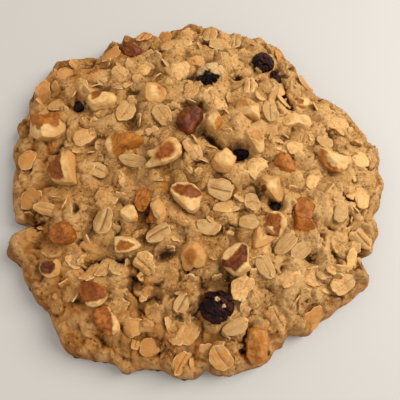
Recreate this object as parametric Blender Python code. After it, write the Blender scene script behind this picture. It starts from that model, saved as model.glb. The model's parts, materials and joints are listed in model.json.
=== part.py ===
# A large oatmeal raisin cookie: a round, ragged, domed dough body with rolled oats
# pressed into its top, and separate walnut pieces and raisins sitting in pockets.
#
# Sizes below are millimetres and angles are degrees. Places are (x, y) on the
# cookie as seen from above, +Y away from the viewer, and are moved together by
# layout_middle() so that the outline's middle is the origin. The underside is z = 0.

import math

import bmesh
import bpy
import numpy as np
from mathutils import Matrix, Vector

MM = 0.001

# Driving sizes of the body
RIM_RADIUS = 67.6
RIM_HEIGHT = 3.6
SHOULDER_HEIGHT = 7.8
CROWN_RISE = 8.2
CROWN_POWER = 0.75
SHOULDER_START = 0.925
FOOT_STEPS = ((1.4, 0.7), (0.0, 2.4))
GRID_CELLS = 40

# The ragged edge: its centre, then angle, half width and rise of each lobe or notch
RIM_CENTRE = (-1.25, -0.75)
RIM_LOBES = (
    (5, 9, 3.0), (13.5, 1.6, -1.0), (39, 10, -7.4), (50.5, 6, -3.0), (92, 5, 1.8),
    (103, 6, -1.2), (115, 1.5, 2.2), (120, 1.8, 1.8), (127.5, 2.5, -2.2), (138.5, 4, 3.6),
    (147, 16, 6.2), (161.5, 2.4, 2.4), (171, 3.5, 2.2), (195, 1.7, -6.4), (201, 3.6, 3.8),
    (212, 8, 2.0), (234, 9, 5.0), (250, 2.5, 1.8), (258, 6, -1.6), (272, 2, -2.8),
    (284, 8, -1.0), (293.5, 2, -2.0), (299, 4.5, -5.6), (311, 5, -3.0), (327, 6, 2.0),
    (334.5, 1.8, -2.2),
)
RIM_RAGGED = ((21, 0.38, 12), (43, 0.3, 13))

# Broad mounds and hollows of the dough: place, length, width, heading and rise
MOUNDS = (
    (10.5, 18, 15, 16, 0, 2.6), (27, 36, 15, 13, 20, 2.4), (11, 46.5, 9, 8, 0, 1.5),
    (-44.5, -50, 14, 12, 30, 1.6), (-62, -23, 12, 9, -20, 1.8), (-48.5, -9.5, 10, 6, 85, 1.4),
    (29.5, -11.5, 7, 5, 80, 1.2), (-4.5, 30, 10, 8, 0, 1.0), (-36, -7.5, 10, 8, 0, 0.9),
    (-14, -2, 10, 7, 10, 0.9), (-45, 34, 10, 9, 0, 1.0), (-58, 35, 9, 8, 0, 1.2),
    (-17, 47.5, 9, 8, 0, 1.3), (28, -38, 12, 11, 0, 1.2), (-5, -51, 18, 10, 10, 0.9),
    (45, -10, 20, 14, 70, 1.0), (55, 2, 14, 16, 0, 1.0), (-60, 20, 12, 14, 0, 0.9),
    (40, -34, 14, 9, 30, 1.0), (-22, -50, 14, 12, 0, 0.9), (53, -37, 9, 8, -20, 1.3),
)
HOLLOWS = (
    (13.5, 7.6, 10, 6.5, 5, -5.6), (4.5, 11.5, 8, 3, -40, -2.6), (25.6, -11, 6, 6, 70, -4.8),
    (31.5, 33, 3.6, 13, 12, -3.4), (29, 41, 7, 6, 40, -2.4), (-3.2, 38.5, 5, 8, 0, -2.6),
    (-2.5, 25.6, 10, 4, -20, -3.6), (-25, 18.5, 9, 5, 0, -1.8), (-38, 34, 8, 5, 0, -1.2),
    (-30, -30, 10, 4, 0, -2.0), (-12, -28, 8, 5, 30, -2.4), (-28, -19.5, 4, 7, 0, -1.8),
    (-44, -12.5, 4, 6, 0, -1.8), (-57, -15.5, 11, 4, -15, -2.6), (37.5, -28.7, 5, 5, 0, -1.8),
    (46, -28.5, 6, 7, 0, -1.6), (54, -31.5, 7, 5, 0, -1.8), (56, -26.5, 8, 3, 35, -2.2),
    (14, 39.3, 5, 4, 0, -1.2), (35, 18.5, 7, 3.5, 60, -1.6), (2.5, -37.5, 8, 5, 0, -1.4),
    (-15.5, -42.7, 5, 4, 0, -1.2), (-61.5, 2.7, 3, 4, 0, -1.4), (15.5, -50, 5, 7, 0, -1.4),
)
MOUND_EDGE = 1.35
SWELL = ((17, 0.55, 21), (8.5, 0.42, 22))

# Walnut pieces: form, place, length, width, heading and lean
WALNUTS = (
    ("wedge", -26.4, 52.2, 9.8, 5.6, -55, 12), ("bean", -35.5, 28, 11, 8, 20, 0),
    ("disc", -17, 31.5, 9.6, 9, 0, 6), ("block", -55.4, 17.8, 13, 10, -8, 6),
    ("wedge", -27.2, 11, 14, 10, -10, -8), ("crescent", -13.2, 6, 13.5, 8.5, 30, 0),
    ("wedge", -48.4, 1.8, 11.5, 9.5, 112, -6), ("wedge", -4.5, 19.2, 12, 8.5, -98, -10),
    ("drop", 4.6, 18.8, 8.4, 6.4, 78, 8), ("crescent", -1.5, 46.6, 10, 5.5, -5, 0),
    ("block", 17, 26, 10, 8.5, -35, 8), ("bean", 36, 22.3, 12, 6.8, -12, 0),
    ("wedge", 19.2, 13.6, 11, 6.8, 110, 8), ("drop", 7.8, 4, 10, 8, 62, 10),
    ("dome", 29, 4.3, 8.8, 6.6, -55, 0), ("bean", 46.9, 5, 13.4, 7.4, -22, 0),
    ("wedge", 23.6, -4.6, 9.2, 7.6, 122, 6), ("block", 35.5, -15.3, 13.5, 8.2, 84, -6),
    ("dome", 24.4, -17, 9, 6.6, -68, 8), ("wedge", 19.3, -23.2, 9, 5.4, 48, 6),
    ("wedge", 10.6, -29.5, 11.4, 8.8, -130, -8), ("dome", -3.5, -29, 10, 9, 60, 0),
    ("wedge", -5.6, -9, 12, 9, -62, -6), ("drop", -21, -9.2, 8.8, 5.2, 80, 10),
    ("disc", -25.4, -15.2, 6.4, 5.8, 0, 0), ("block", -15.2, -14.4, 7.6, 6.6, 30, 0),
    ("wedge", -25.8, -24.4, 10, 6, -12, 8), ("dome", -46.2, -20.8, 10, 8, 0, 0),
    ("bean", -50.4, -32, 10.5, 6.8, 15, -6), ("block", -35.8, -40.5, 9, 8.4, -20, -6),
    ("block", 17.8, -57.2, 12.5, 7, 85, -10), ("dome", 37.6, 30.2, 5.4, 4.6, 20, 0),
    ("disc", -31, -49.5, 9.5, 7.5, -35, 5),
)
# Each form: bluntness, taper, bend and height as a share of the width
WALNUT_FORMS = {
    "wedge": (3.0, 0.45, 0.0, 0.72),
    "bean": (2.4, 0.10, 0.32, 0.72),
    "disc": (2.6, 0.0, 0.0, 0.55),
    "block": (3.6, 0.14, 0.0, 0.68),
    "crescent": (2.5, 0.12, 0.55, 0.66),
    "drop": (2.3, 0.38, 0.0, 0.76),
    "dome": (2.1, 0.06, 0.0, 0.78),
}
WALNUT_LIFT = 0.16
WALNUT_SIDES = (8, 5)

# Raisins: place, length, width, heading and lift above the dough
RAISINS = (
    (4.3, -45, 10.6, 10.2, 20, 0.6), (3.2, 39.4, 11, 8.6, 15, 0.2), (24, 45.6, 9.4, 8, 115, 0.5),
    (29.2, 41.2, 7, 5, 125, -0.4), (14.3, 8.6, 7.6, 4.6, 10, 0.7), (25.7, -11.3, 5.6, 4.4, 60, 0.6),
    (-45.3, 27.3, 4.6, 4.4, 0, 0.2),
)
RAISIN_THICKNESS = 0.72
RAISIN_SIDES = (9, 6)
RAISIN_FOLDS = ((3, 0.07, 0.4), (5, 0.05, 1.9))

# Rolled oats that stand out: place, length, width, heading and lean
OATS = (
    (-33.2, -16.8, 9.3, 6.5, 75, 4), (6.2, -6.2, 9, 7.5, -10, 3), (2, -19.2, 8, 5.5, -5, 3),
    (-24, 4.4, 9, 4.6, -8, 6), (-27.5, 24, 9, 6.5, 65, 8), (-38.5, 40, 9.5, 8, 20, 4),
    (-36.5, 1.4, 7.5, 5, -20, 5), (25.3, 24.5, 9, 5.5, 85, 8), (45.5, 13.2, 7, 4.5, -5, 5),
    (33.4, 9.8, 6, 4.6, 0, 5), (17, -10.6, 5.6, 6.4, 0, 5), (15.6, -17.6, 6.4, 5, 0, 6),
    (8.4, -12.3, 9, 4.6, 10, 5), (-3, 8.2, 9, 5, -55, 8), (-14.5, -21.4, 9, 5, 30, 8),
    (28.2, -24.4, 9.6, 5, 45, 8), (20.6, -32.4, 8, 5.4, -60, 6), (-6.6, -43.4, 8, 4.4, 58, 26),
    (10.6, -51.2, 9, 4.6, 25, 10), (-4.5, -52.5, 9, 6.5, 50, 6), (-16.5, -57, 8, 6, 10, 6),
    (5.5, -60.5, 9, 6.6, -55, 6), (-52.6, -12.4, 9.4, 4.4, -17, 16), (-53.5, 28, 6.4, 4.8, 20, 6),
    (-14, 22, 8, 6, -55, 8), (48, -13.5, 8, 5, 75, 8), (33.4, -26.6, 9, 5, 35, 6),
    (4, 60.2, 8, 5.4, 80, 8), (14.4, 58, 8, 4.6, 80, 10), (-4.5, 60.2, 7, 6.4, 0, 4),
    (7.6, 54.4, 9, 5.4, -15, 6), (-42, 14, 8, 6, 40, 6), (52, 20, 8, 6, -40, 8),
    (40, -1.6, 8, 5.4, 60, 8), (57, -8, 8, 5.6, 80, 8), (-62, 6, 8, 5.6, 80, 8),
    (-51, 42, 8, 6.4, -20, 8), (-30, 40, 8, 5.6, -40, 8), (47, -38, 9, 6, 30, 6),
)
OAT_SIDES = 8
OAT_THICKNESS = 1.9
OAT_LIFT = 0.4
OAT_TOP_SHARE = 0.8
SCATTER_COUNT = 26
SCATTER_SPACING = 8.6
SCATTER_SIZES = ((6.2, 8.6), (4.6, 6.2))
SCATTER_LEAN = 12
SCATTER_LIMIT = 0.93
SCATTER_SEED = 5
TOPPING_CLEARANCE = 3.2

POCKET_GAP = 0.45
SLOPE_STEP = 1.2


def rim_waves(theta, count, size, seed):
    """Small seeded unevenness round the edge."""
    rng = np.random.default_rng(seed)
    total = np.zeros_like(theta)
    for turns in range(count, count + 6):
        total += np.cos(turns * theta + rng.uniform(0, 2 * math.pi))
    return size * total / 2


def rim_radius(theta):
    """Radius of the ragged outline at an angle in radians."""
    radius = np.full_like(theta, RIM_RADIUS)
    for angle, half_width, rise in RIM_LOBES:
        away = (theta - math.radians(angle) + math.pi) % (2 * math.pi) - math.pi
        radius += rise * np.exp(-(away / math.radians(half_width)) ** 2)
    for count, size, seed in RIM_RAGGED:
        radius += rim_waves(theta, count, size, seed)
    return radius


def layout_middle():
    """How far the layout moves so that the outline's middle is the origin."""
    theta = np.linspace(-math.pi, math.pi, 1441)
    radius = rim_radius(theta)
    x = RIM_CENTRE[0] + radius * np.cos(theta)
    y = RIM_CENTRE[1] + radius * np.sin(theta)
    return np.array([(x.min() + x.max()) / 2, (y.min() + y.max()) / 2])


MIDDLE = layout_middle()


def swell(x, y, wavelength, size, seed):
    """Gentle seeded unevenness of the dough: waves in random directions."""
    rng = np.random.default_rng(seed)
    total = np.zeros_like(x)
    for _ in range(20):
        heading = rng.uniform(0, 2 * math.pi)
        turn = 2 * math.pi / (wavelength * rng.uniform(0.8, 1.3))
        across = x * math.cos(heading) + y * math.sin(heading)
        total += np.cos(across * turn + rng.uniform(0, 2 * math.pi))
    return size * total / math.sqrt(10)


def mound(x, y, place_x, place_y, length, width, heading, rise):
    """One soft-sided oval mound, or a hollow where the rise is negative."""
    turn = math.radians(heading)
    along = (x - place_x) * math.cos(turn) + (y - place_y) * math.sin(turn)
    across = (y - place_y) * math.cos(turn) - (x - place_x) * math.sin(turn)
    away = (2 * along / length) ** 2 + (2 * across / width) ** 2
    return rise * np.exp(-away ** MOUND_EDGE)


def top_height(x, y):
    """Height of the dough at places of the outline's own layout."""
    x = np.asarray(x, float)
    y = np.asarray(y, float)
    out_x, out_y = x - RIM_CENTRE[0], y - RIM_CENTRE[1]
    share = np.hypot(out_x, out_y) / rim_radius(np.arctan2(out_y, out_x))
    share = np.clip(share, 0, 1)
    dome = SHOULDER_HEIGHT + CROWN_RISE * (1 - share ** 2) ** CROWN_POWER
    for wavelength, size, seed in SWELL:
        dome += swell(x, y, wavelength, size, seed)
    for item in MOUNDS + HOLLOWS:
        dome += mound(x, y, *item)
    over = np.clip((share - SHOULDER_START) / (1 - SHOULDER_START), 0, 1)
    return RIM_HEIGHT + (dome - RIM_HEIGHT) * np.sqrt(1 - over ** 2)


def top_frame(x, y, heading, lean):
    """Turn that lays a piece on the dough's slope with a heading and a lean."""
    step = SLOPE_STEP
    slope_x = (top_height(x + step, y) - top_height(x - step, y)) / (2 * step)
    slope_y = (top_height(x, y + step) - top_height(x, y - step)) / (2 * step)
    up = Vector((-float(slope_x), -float(slope_y), 1)).normalized()
    level = Vector((0, 0, 1)).rotation_difference(up).to_matrix()
    turn = Matrix.Rotation(math.radians(heading), 3, "Z")
    tip = Matrix.Rotation(math.radians(lean), 3, "Y")
    return level @ turn @ tip


def move_to_top(mesh, x, y, lift, heading, lean):
    """Set a piece's mesh, made round its own centre, on the dough."""
    frame = top_frame(x, y, heading, lean).to_4x4()
    height = float(top_height(x, y)) + lift
    place = Vector((x - MIDDLE[0], y - MIDDLE[1], height))
    bmesh.ops.transform(mesh, matrix=Matrix.Translation(place) @ frame, verts=mesh.verts)


def squash(mesh, form, length, width, height):
    """Shape a unit ball into a blunt, tapered or bent piece."""
    blunt, taper, bend, _ = form
    for vert in mesh.verts:
        x, y, z = vert.co
        reach = (abs(x) ** blunt + abs(y) ** blunt + abs(z) ** blunt) ** (-1 / blunt)
        x, y, z = x * reach, y * reach, z * reach
        narrow = 1 - taper * x
        vert.co.x = x * length / 2
        vert.co.y = (y * narrow + bend * (x * x - 0.4)) * width / 2
        vert.co.z = z * (1 - 0.5 * taper * x) * height / 2


def fold(mesh):
    """Raisin wrinkles: ridges that run from pole to pole and round the side."""
    for vert in mesh.verts:
        angle = math.atan2(vert.co.y, vert.co.x)
        scale = 1
        for count, depth, phase in RAISIN_FOLDS:
            scale += depth * math.cos(count * angle + phase + 2 * vert.co.z)
        vert.co *= scale


def grow(mesh, gap):
    """Move every point out along its normal, for a pocket round a piece."""
    mesh.normal_update()
    moves = [vert.normal * gap for vert in mesh.verts]
    for vert, move in zip(mesh.verts, moves):
        vert.co += move


def new_object(name, mesh, collection, material=None):
    """Turn a bmesh in millimetres into a named object in metres."""
    bmesh.ops.scale(mesh, vec=(MM, MM, MM), verts=mesh.verts)
    bmesh.ops.recalc_face_normals(mesh, faces=mesh.faces)
    data = bpy.data.meshes.new(name)
    mesh.to_mesh(data)
    mesh.free()
    item = bpy.data.objects.new(name, data)
    if material:
        data.materials.append(material)
    collection.objects.link(item)
    return item


def new_material(name, colour, roughness):
    material = bpy.data.materials.new(name)
    material.use_nodes = True
    shader = material.node_tree.nodes["Principled BSDF"]
    shader.inputs["Base Color"].default_value = (*colour, 1)
    shader.inputs["Roughness"].default_value = roughness
    shader.inputs["Metallic"].default_value = 0
    return material


def new_collection(name, parent):
    collection = bpy.data.collections.new(name)
    parent.children.link(collection)
    return collection


def dough_mesh():
    """Domed top from a square grid drawn out to the outline, with a tucked-in foot."""
    mesh = bmesh.new()
    bmesh.ops.create_grid(mesh, x_segments=GRID_CELLS, y_segments=GRID_CELLS, size=1)
    edge = [e for e in mesh.edges if e.is_boundary]
    for vert in mesh.verts:
        u, v, _ = vert.co
        across = u * math.sqrt(1 - v * v / 2)
        along = v * math.sqrt(1 - u * u / 2)
        radius = float(rim_radius(np.array(math.atan2(along, across))))
        x = RIM_CENTRE[0] + across * radius
        y = RIM_CENTRE[1] + along * radius
        vert.co = (x - MIDDLE[0], y - MIDDLE[1], float(top_height(x, y)))
    for height, inset in FOOT_STEPS:
        made = bmesh.ops.extrude_edge_only(mesh, edges=edge)["geom"]
        edge = [e for e in made if isinstance(e, bmesh.types.BMEdge) and e.is_boundary]
        for vert in {v for e in edge for v in e.verts}:
            out = Vector((vert.co.x, vert.co.y)).normalized()
            vert.co.x -= out.x * inset
            vert.co.y -= out.y * inset
            vert.co.z = height
    bmesh.ops.contextual_create(mesh, geom=edge)
    return mesh


def walnut_mesh(form_name, length, width, gap):
    mesh = bmesh.new()
    sides, rings = WALNUT_SIDES
    bmesh.ops.create_uvsphere(mesh, u_segments=sides, v_segments=rings, radius=1)
    form = WALNUT_FORMS[form_name]
    squash(mesh, form, length, width, width * form[3])
    if gap:
        grow(mesh, gap)
    return mesh


def raisin_mesh(length, width, gap):
    mesh = bmesh.new()
    sides, rings = RAISIN_SIDES
    bmesh.ops.create_uvsphere(mesh, u_segments=sides, v_segments=rings, radius=1)
    fold(mesh)
    size = (length / 2, width / 2, width * RAISIN_THICKNESS / 2)
    bmesh.ops.scale(mesh, vec=size, verts=mesh.verts)
    if gap:
        grow(mesh, gap)
    return mesh


def oat_mesh(length, width):
    """One rolled oat as a low oval plate with sloping sides."""
    mesh = bmesh.new()
    bmesh.ops.create_cone(
        mesh, cap_ends=True, segments=OAT_SIDES, radius1=1, radius2=OAT_TOP_SHARE, depth=1
    )
    bmesh.ops.scale(mesh, vec=(length / 2, width / 2, OAT_THICKNESS), verts=mesh.verts)
    return mesh


def topping_discs():
    """Centre and half length of every walnut piece and raisin."""
    discs = [(item[1], item[2], item[3] / 2) for item in WALNUTS]
    discs += [(item[0], item[1], item[2] / 2) for item in RAISINS]
    return discs


def scattered_oats():
    """Further oats at seeded places, clear of the toppings and of each other."""
    rng = np.random.default_rng(SCATTER_SEED)
    discs = topping_discs()
    placed = []
    while len(placed) < SCATTER_COUNT:
        theta = rng.uniform(-math.pi, math.pi)
        share = math.sqrt(rng.uniform(0, 1)) * SCATTER_LIMIT
        length = rng.uniform(*SCATTER_SIZES[0])
        width = rng.uniform(*SCATTER_SIZES[1])
        heading = rng.uniform(-180, 180)
        lean = rng.uniform(-SCATTER_LEAN, SCATTER_LEAN)
        radius = share * float(rim_radius(np.array(theta)))
        x = RIM_CENTRE[0] + radius * math.cos(theta)
        y = RIM_CENTRE[1] + radius * math.sin(theta)
        near_topping = any(
            math.hypot(x - a, y - b) < reach + TOPPING_CLEARANCE for a, b, reach in discs
        )
        near_oat = any(
            math.hypot(x - item[0], y - item[1]) < SCATTER_SPACING
            for item in list(OATS) + placed
        )
        if not near_topping and not near_oat:
            placed.append((x, y, length, width, heading, lean))
    return placed


def apply_boolean(target, operation, operands):
    """Join or cut with every object of a collection, then remove those objects."""
    modifier = target.modifiers.new(operation.title(), "BOOLEAN")
    modifier.operation = operation
    modifier.operand_type = "COLLECTION"
    modifier.collection = operands
    bpy.context.view_layer.objects.active = target
    bpy.ops.object.modifier_apply(modifier=modifier.name)
    for item in list(operands.objects):
        bpy.data.objects.remove(item)
    bpy.data.collections.remove(operands)


def build():
    for item in list(bpy.data.objects):
        bpy.data.objects.remove(item)
    scene = bpy.context.scene.collection
    parts = new_collection("oatmeal_raisin_cookie", scene)
    oats = new_collection("oats", scene)
    pockets = new_collection("pockets", scene)
    dough_look = new_material("baked dough", (0.42, 0.23, 0.09), 0.75)
    walnut_look = new_material("walnut", (0.62, 0.38, 0.16), 0.5)
    raisin_look = new_material("raisin", (0.03, 0.012, 0.012), 0.3)

    cookie = new_object("cookie", dough_mesh(), parts, dough_look)
    for x, y, length, width, heading, lean in list(OATS) + scattered_oats():
        mesh = oat_mesh(length, width)
        move_to_top(mesh, x, y, OAT_LIFT, heading, lean)
        new_object("oat", mesh, oats)
    for number, item in enumerate(WALNUTS, 1):
        form, x, y, length, width, heading, lean = item
        lift = WALNUT_LIFT * width
        for gap, name, home, look in (
            (0, f"walnut_{number:02d}", parts, walnut_look),
            (POCKET_GAP, "walnut pocket", pockets, None),
        ):
            mesh = walnut_mesh(form, length, width, gap)
            move_to_top(mesh, x, y, lift, heading, lean)
            new_object(name, mesh, home, look)
    for number, item in enumerate(RAISINS, 1):
        x, y, length, width, heading, lift = item
        for gap, name, home, look in (
            (0, f"raisin_{number}", parts, raisin_look),
            (POCKET_GAP, "raisin pocket", pockets, None),
        ):
            mesh = raisin_mesh(length, width, gap)
            move_to_top(mesh, x, y, lift, heading, 0)
            new_object(name, mesh, home, look)
    apply_boolean(cookie, "UNION", oats)
    apply_boolean(cookie, "DIFFERENCE", pockets)
    for item in parts.objects:
        item.data.shade_smooth()
        item.data.set_sharp_from_angle(angle=math.radians(40))


build()
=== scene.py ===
# Looks of the oatmeal raisin cookie: fine dough surface, rolled oats, walnut pieces,
# raisins and crumbs, with their materials, on a pale floor under soft light.
#
# Lengths are millimetres and angles are degrees until a mesh is made. Places are
# (x, y) in the cookie's own layout, which layout_middle() sets on the frame's origin.

import json
import math

import bmesh
import bpy
import numpy as np
from mathutils import Matrix, Vector

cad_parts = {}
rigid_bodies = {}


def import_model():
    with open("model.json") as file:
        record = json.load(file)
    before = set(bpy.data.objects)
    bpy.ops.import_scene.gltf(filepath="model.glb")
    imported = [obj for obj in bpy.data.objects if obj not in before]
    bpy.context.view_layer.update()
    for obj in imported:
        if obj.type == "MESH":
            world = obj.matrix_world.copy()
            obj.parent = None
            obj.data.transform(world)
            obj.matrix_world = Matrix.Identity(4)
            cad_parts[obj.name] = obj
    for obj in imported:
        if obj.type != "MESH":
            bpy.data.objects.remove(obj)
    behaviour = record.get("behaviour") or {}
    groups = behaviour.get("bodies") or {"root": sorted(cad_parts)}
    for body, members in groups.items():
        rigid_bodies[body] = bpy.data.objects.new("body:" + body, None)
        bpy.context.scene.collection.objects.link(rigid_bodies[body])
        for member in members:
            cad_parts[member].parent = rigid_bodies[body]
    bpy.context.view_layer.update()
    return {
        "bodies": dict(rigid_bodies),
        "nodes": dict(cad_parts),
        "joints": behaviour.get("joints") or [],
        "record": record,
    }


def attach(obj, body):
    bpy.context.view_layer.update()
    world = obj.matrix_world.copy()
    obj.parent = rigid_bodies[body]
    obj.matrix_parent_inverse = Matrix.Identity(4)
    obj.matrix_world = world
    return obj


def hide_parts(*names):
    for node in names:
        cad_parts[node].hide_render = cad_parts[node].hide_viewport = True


MM = 0.001

# Body, as the solid has it
RIM_RADIUS = 67.6
RIM_HEIGHT = 3.6
SHOULDER_HEIGHT = 7.8
CROWN_RISE = 8.2
CROWN_POWER = 0.75
SHOULDER_START = 0.925
RIM_CENTRE = (-1.25, -0.75)
RIM_LOBES = (
    (5, 9, 3.0), (13.5, 1.6, -1.0), (39, 10, -7.4), (50.5, 6, -3.0), (92, 5, 1.8), (103, 6, -1.2),
    (115, 1.5, 2.2), (120, 1.8, 1.8), (127.5, 2.5, -2.2), (138.5, 4, 3.6), (147, 16, 6.2),
    (161.5, 2.4, 2.4), (171, 3.5, 2.2), (195, 1.7, -6.4), (201, 3.6, 3.8), (212, 8, 2.0),
    (234, 9, 5.0), (250, 2.5, 1.8), (258, 6, -1.6), (272, 2, -2.8), (284, 8, -1.0),
    (293.5, 2, -2.0), (299, 4.5, -5.6), (311, 5, -3.0), (327, 6, 2.0), (334.5, 1.8, -2.2),
)
RIM_RAGGED = ((21, 0.38, 12), (43, 0.3, 13))
RIM_CRUMB = ((46, 0.16, 14), (83, 0.13, 15), (140, 0.08, 16))
MOUNDS = (
    (10.5, 18, 15, 16, 0, 2.6), (27, 36, 15, 13, 20, 2.4), (11, 46.5, 9, 8, 0, 1.5),
    (-44.5, -50, 14, 12, 30, 1.6), (-62, -23, 12, 9, -20, 1.8), (-48.5, -9.5, 10, 6, 85, 1.4),
    (29.5, -11.5, 7, 5, 80, 1.2), (-4.5, 30, 10, 8, 0, 1.0), (-36, -7.5, 10, 8, 0, 0.9),
    (-14, -2, 10, 7, 10, 0.9), (-45, 34, 10, 9, 0, 1.0), (-58, 35, 9, 8, 0, 1.2),
    (-17, 47.5, 9, 8, 0, 1.3), (28, -38, 12, 11, 0, 1.2), (-5, -51, 18, 10, 10, 0.9),
    (45, -10, 20, 14, 70, 1.0), (55, 2, 14, 16, 0, 1.0), (-60, 20, 12, 14, 0, 0.9),
    (40, -34, 14, 9, 30, 1.0), (-22, -50, 14, 12, 0, 0.9), (53, -37, 9, 8, -20, 1.3),
)
HOLLOWS = (
    (13.5, 7.6, 10, 6.5, 5, -5.6), (4.5, 11.5, 8, 3, -40, -2.6), (25.6, -11, 6, 6, 70, -4.8),
    (31.5, 33, 3.6, 13, 12, -3.4), (29, 41, 7, 6, 40, -2.4), (-3.2, 38.5, 5, 8, 0, -2.6),
    (-2.5, 25.6, 10, 4, -20, -3.6), (-25, 18.5, 9, 5, 0, -1.8), (-38, 34, 8, 5, 0, -1.2),
    (-30, -30, 10, 4, 0, -2.0), (-12, -28, 8, 5, 30, -2.4), (-28, -19.5, 4, 7, 0, -1.8),
    (-44, -12.5, 4, 6, 0, -1.8), (-57, -15.5, 11, 4, -15, -2.6), (37.5, -28.7, 5, 5, 0, -1.8),
    (46, -28.5, 6, 7, 0, -1.6), (54, -31.5, 7, 5, 0, -1.8), (56, -26.5, 8, 3, 35, -2.2),
    (14, 39.3, 5, 4, 0, -1.2), (35, 18.5, 7, 3.5, 60, -1.6), (2.5, -37.5, 8, 5, 0, -1.4),
    (-15.5, -42.7, 5, 4, 0, -1.2), (-61.5, 2.7, 3, 4, 0, -1.4), (15.5, -50, 5, 7, 0, -1.4),
)
MOUND_EDGE = 1.35
SWELL = ((17, 0.55, 21), (8.5, 0.42, 22))
SLOPE_STEP = 1.2

# Walnut pieces as the solids have them: form, place, length and width
WALNUTS = (
    ("wedge", -26.4, 52.2, 9.8, 5.6), ("bean", -35.5, 28, 11, 8), ("disc", -17, 31.5, 9.6, 9),
    ("block", -55.4, 17.8, 13, 10), ("wedge", -27.2, 11, 14, 10),
    ("crescent", -13.2, 6, 13.5, 8.5), ("wedge", -48.4, 1.8, 11.5, 9.5),
    ("wedge", -4.5, 19.2, 12, 8.5), ("drop", 4.6, 18.8, 8.4, 6.4),
    ("crescent", -1.5, 46.6, 10, 5.5), ("block", 17, 26, 10, 8.5), ("bean", 36, 22.3, 12, 6.8),
    ("wedge", 19.2, 13.6, 11, 6.8), ("drop", 7.8, 4, 10, 8), ("dome", 29, 4.3, 8.8, 6.6),
    ("bean", 46.9, 5, 13.4, 7.4), ("wedge", 23.6, -4.6, 9.2, 7.6),
    ("block", 35.5, -15.3, 13.5, 8.2), ("dome", 24.4, -17, 9, 6.6), ("wedge", 19.3, -23.2, 9, 5.4),
    ("wedge", 10.6, -29.5, 11.4, 8.8), ("dome", -3.5, -29, 10, 9), ("wedge", -5.6, -9, 12, 9),
    ("drop", -21, -9.2, 8.8, 5.2), ("disc", -25.4, -15.2, 6.4, 5.8),
    ("block", -15.2, -14.4, 7.6, 6.6), ("wedge", -25.8, -24.4, 10, 6),
    ("dome", -46.2, -20.8, 10, 8), ("bean", -50.4, -32, 10.5, 6.8),
    ("block", -35.8, -40.5, 9, 8.4), ("block", 17.8, -57.2, 12.5, 7),
    ("dome", 37.6, 30.2, 5.4, 4.6), ("disc", -31, -49.5, 9.5, 7.5),
)
# Height of each form as a share of its width
WALNUT_HEIGHTS = {
    "wedge": 0.72, "bean": 0.72, "disc": 0.55, "block": 0.68, "crescent": 0.66, "drop": 0.76,
    "dome": 0.78,
}
WALNUT_LIFT = 0.16
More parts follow.
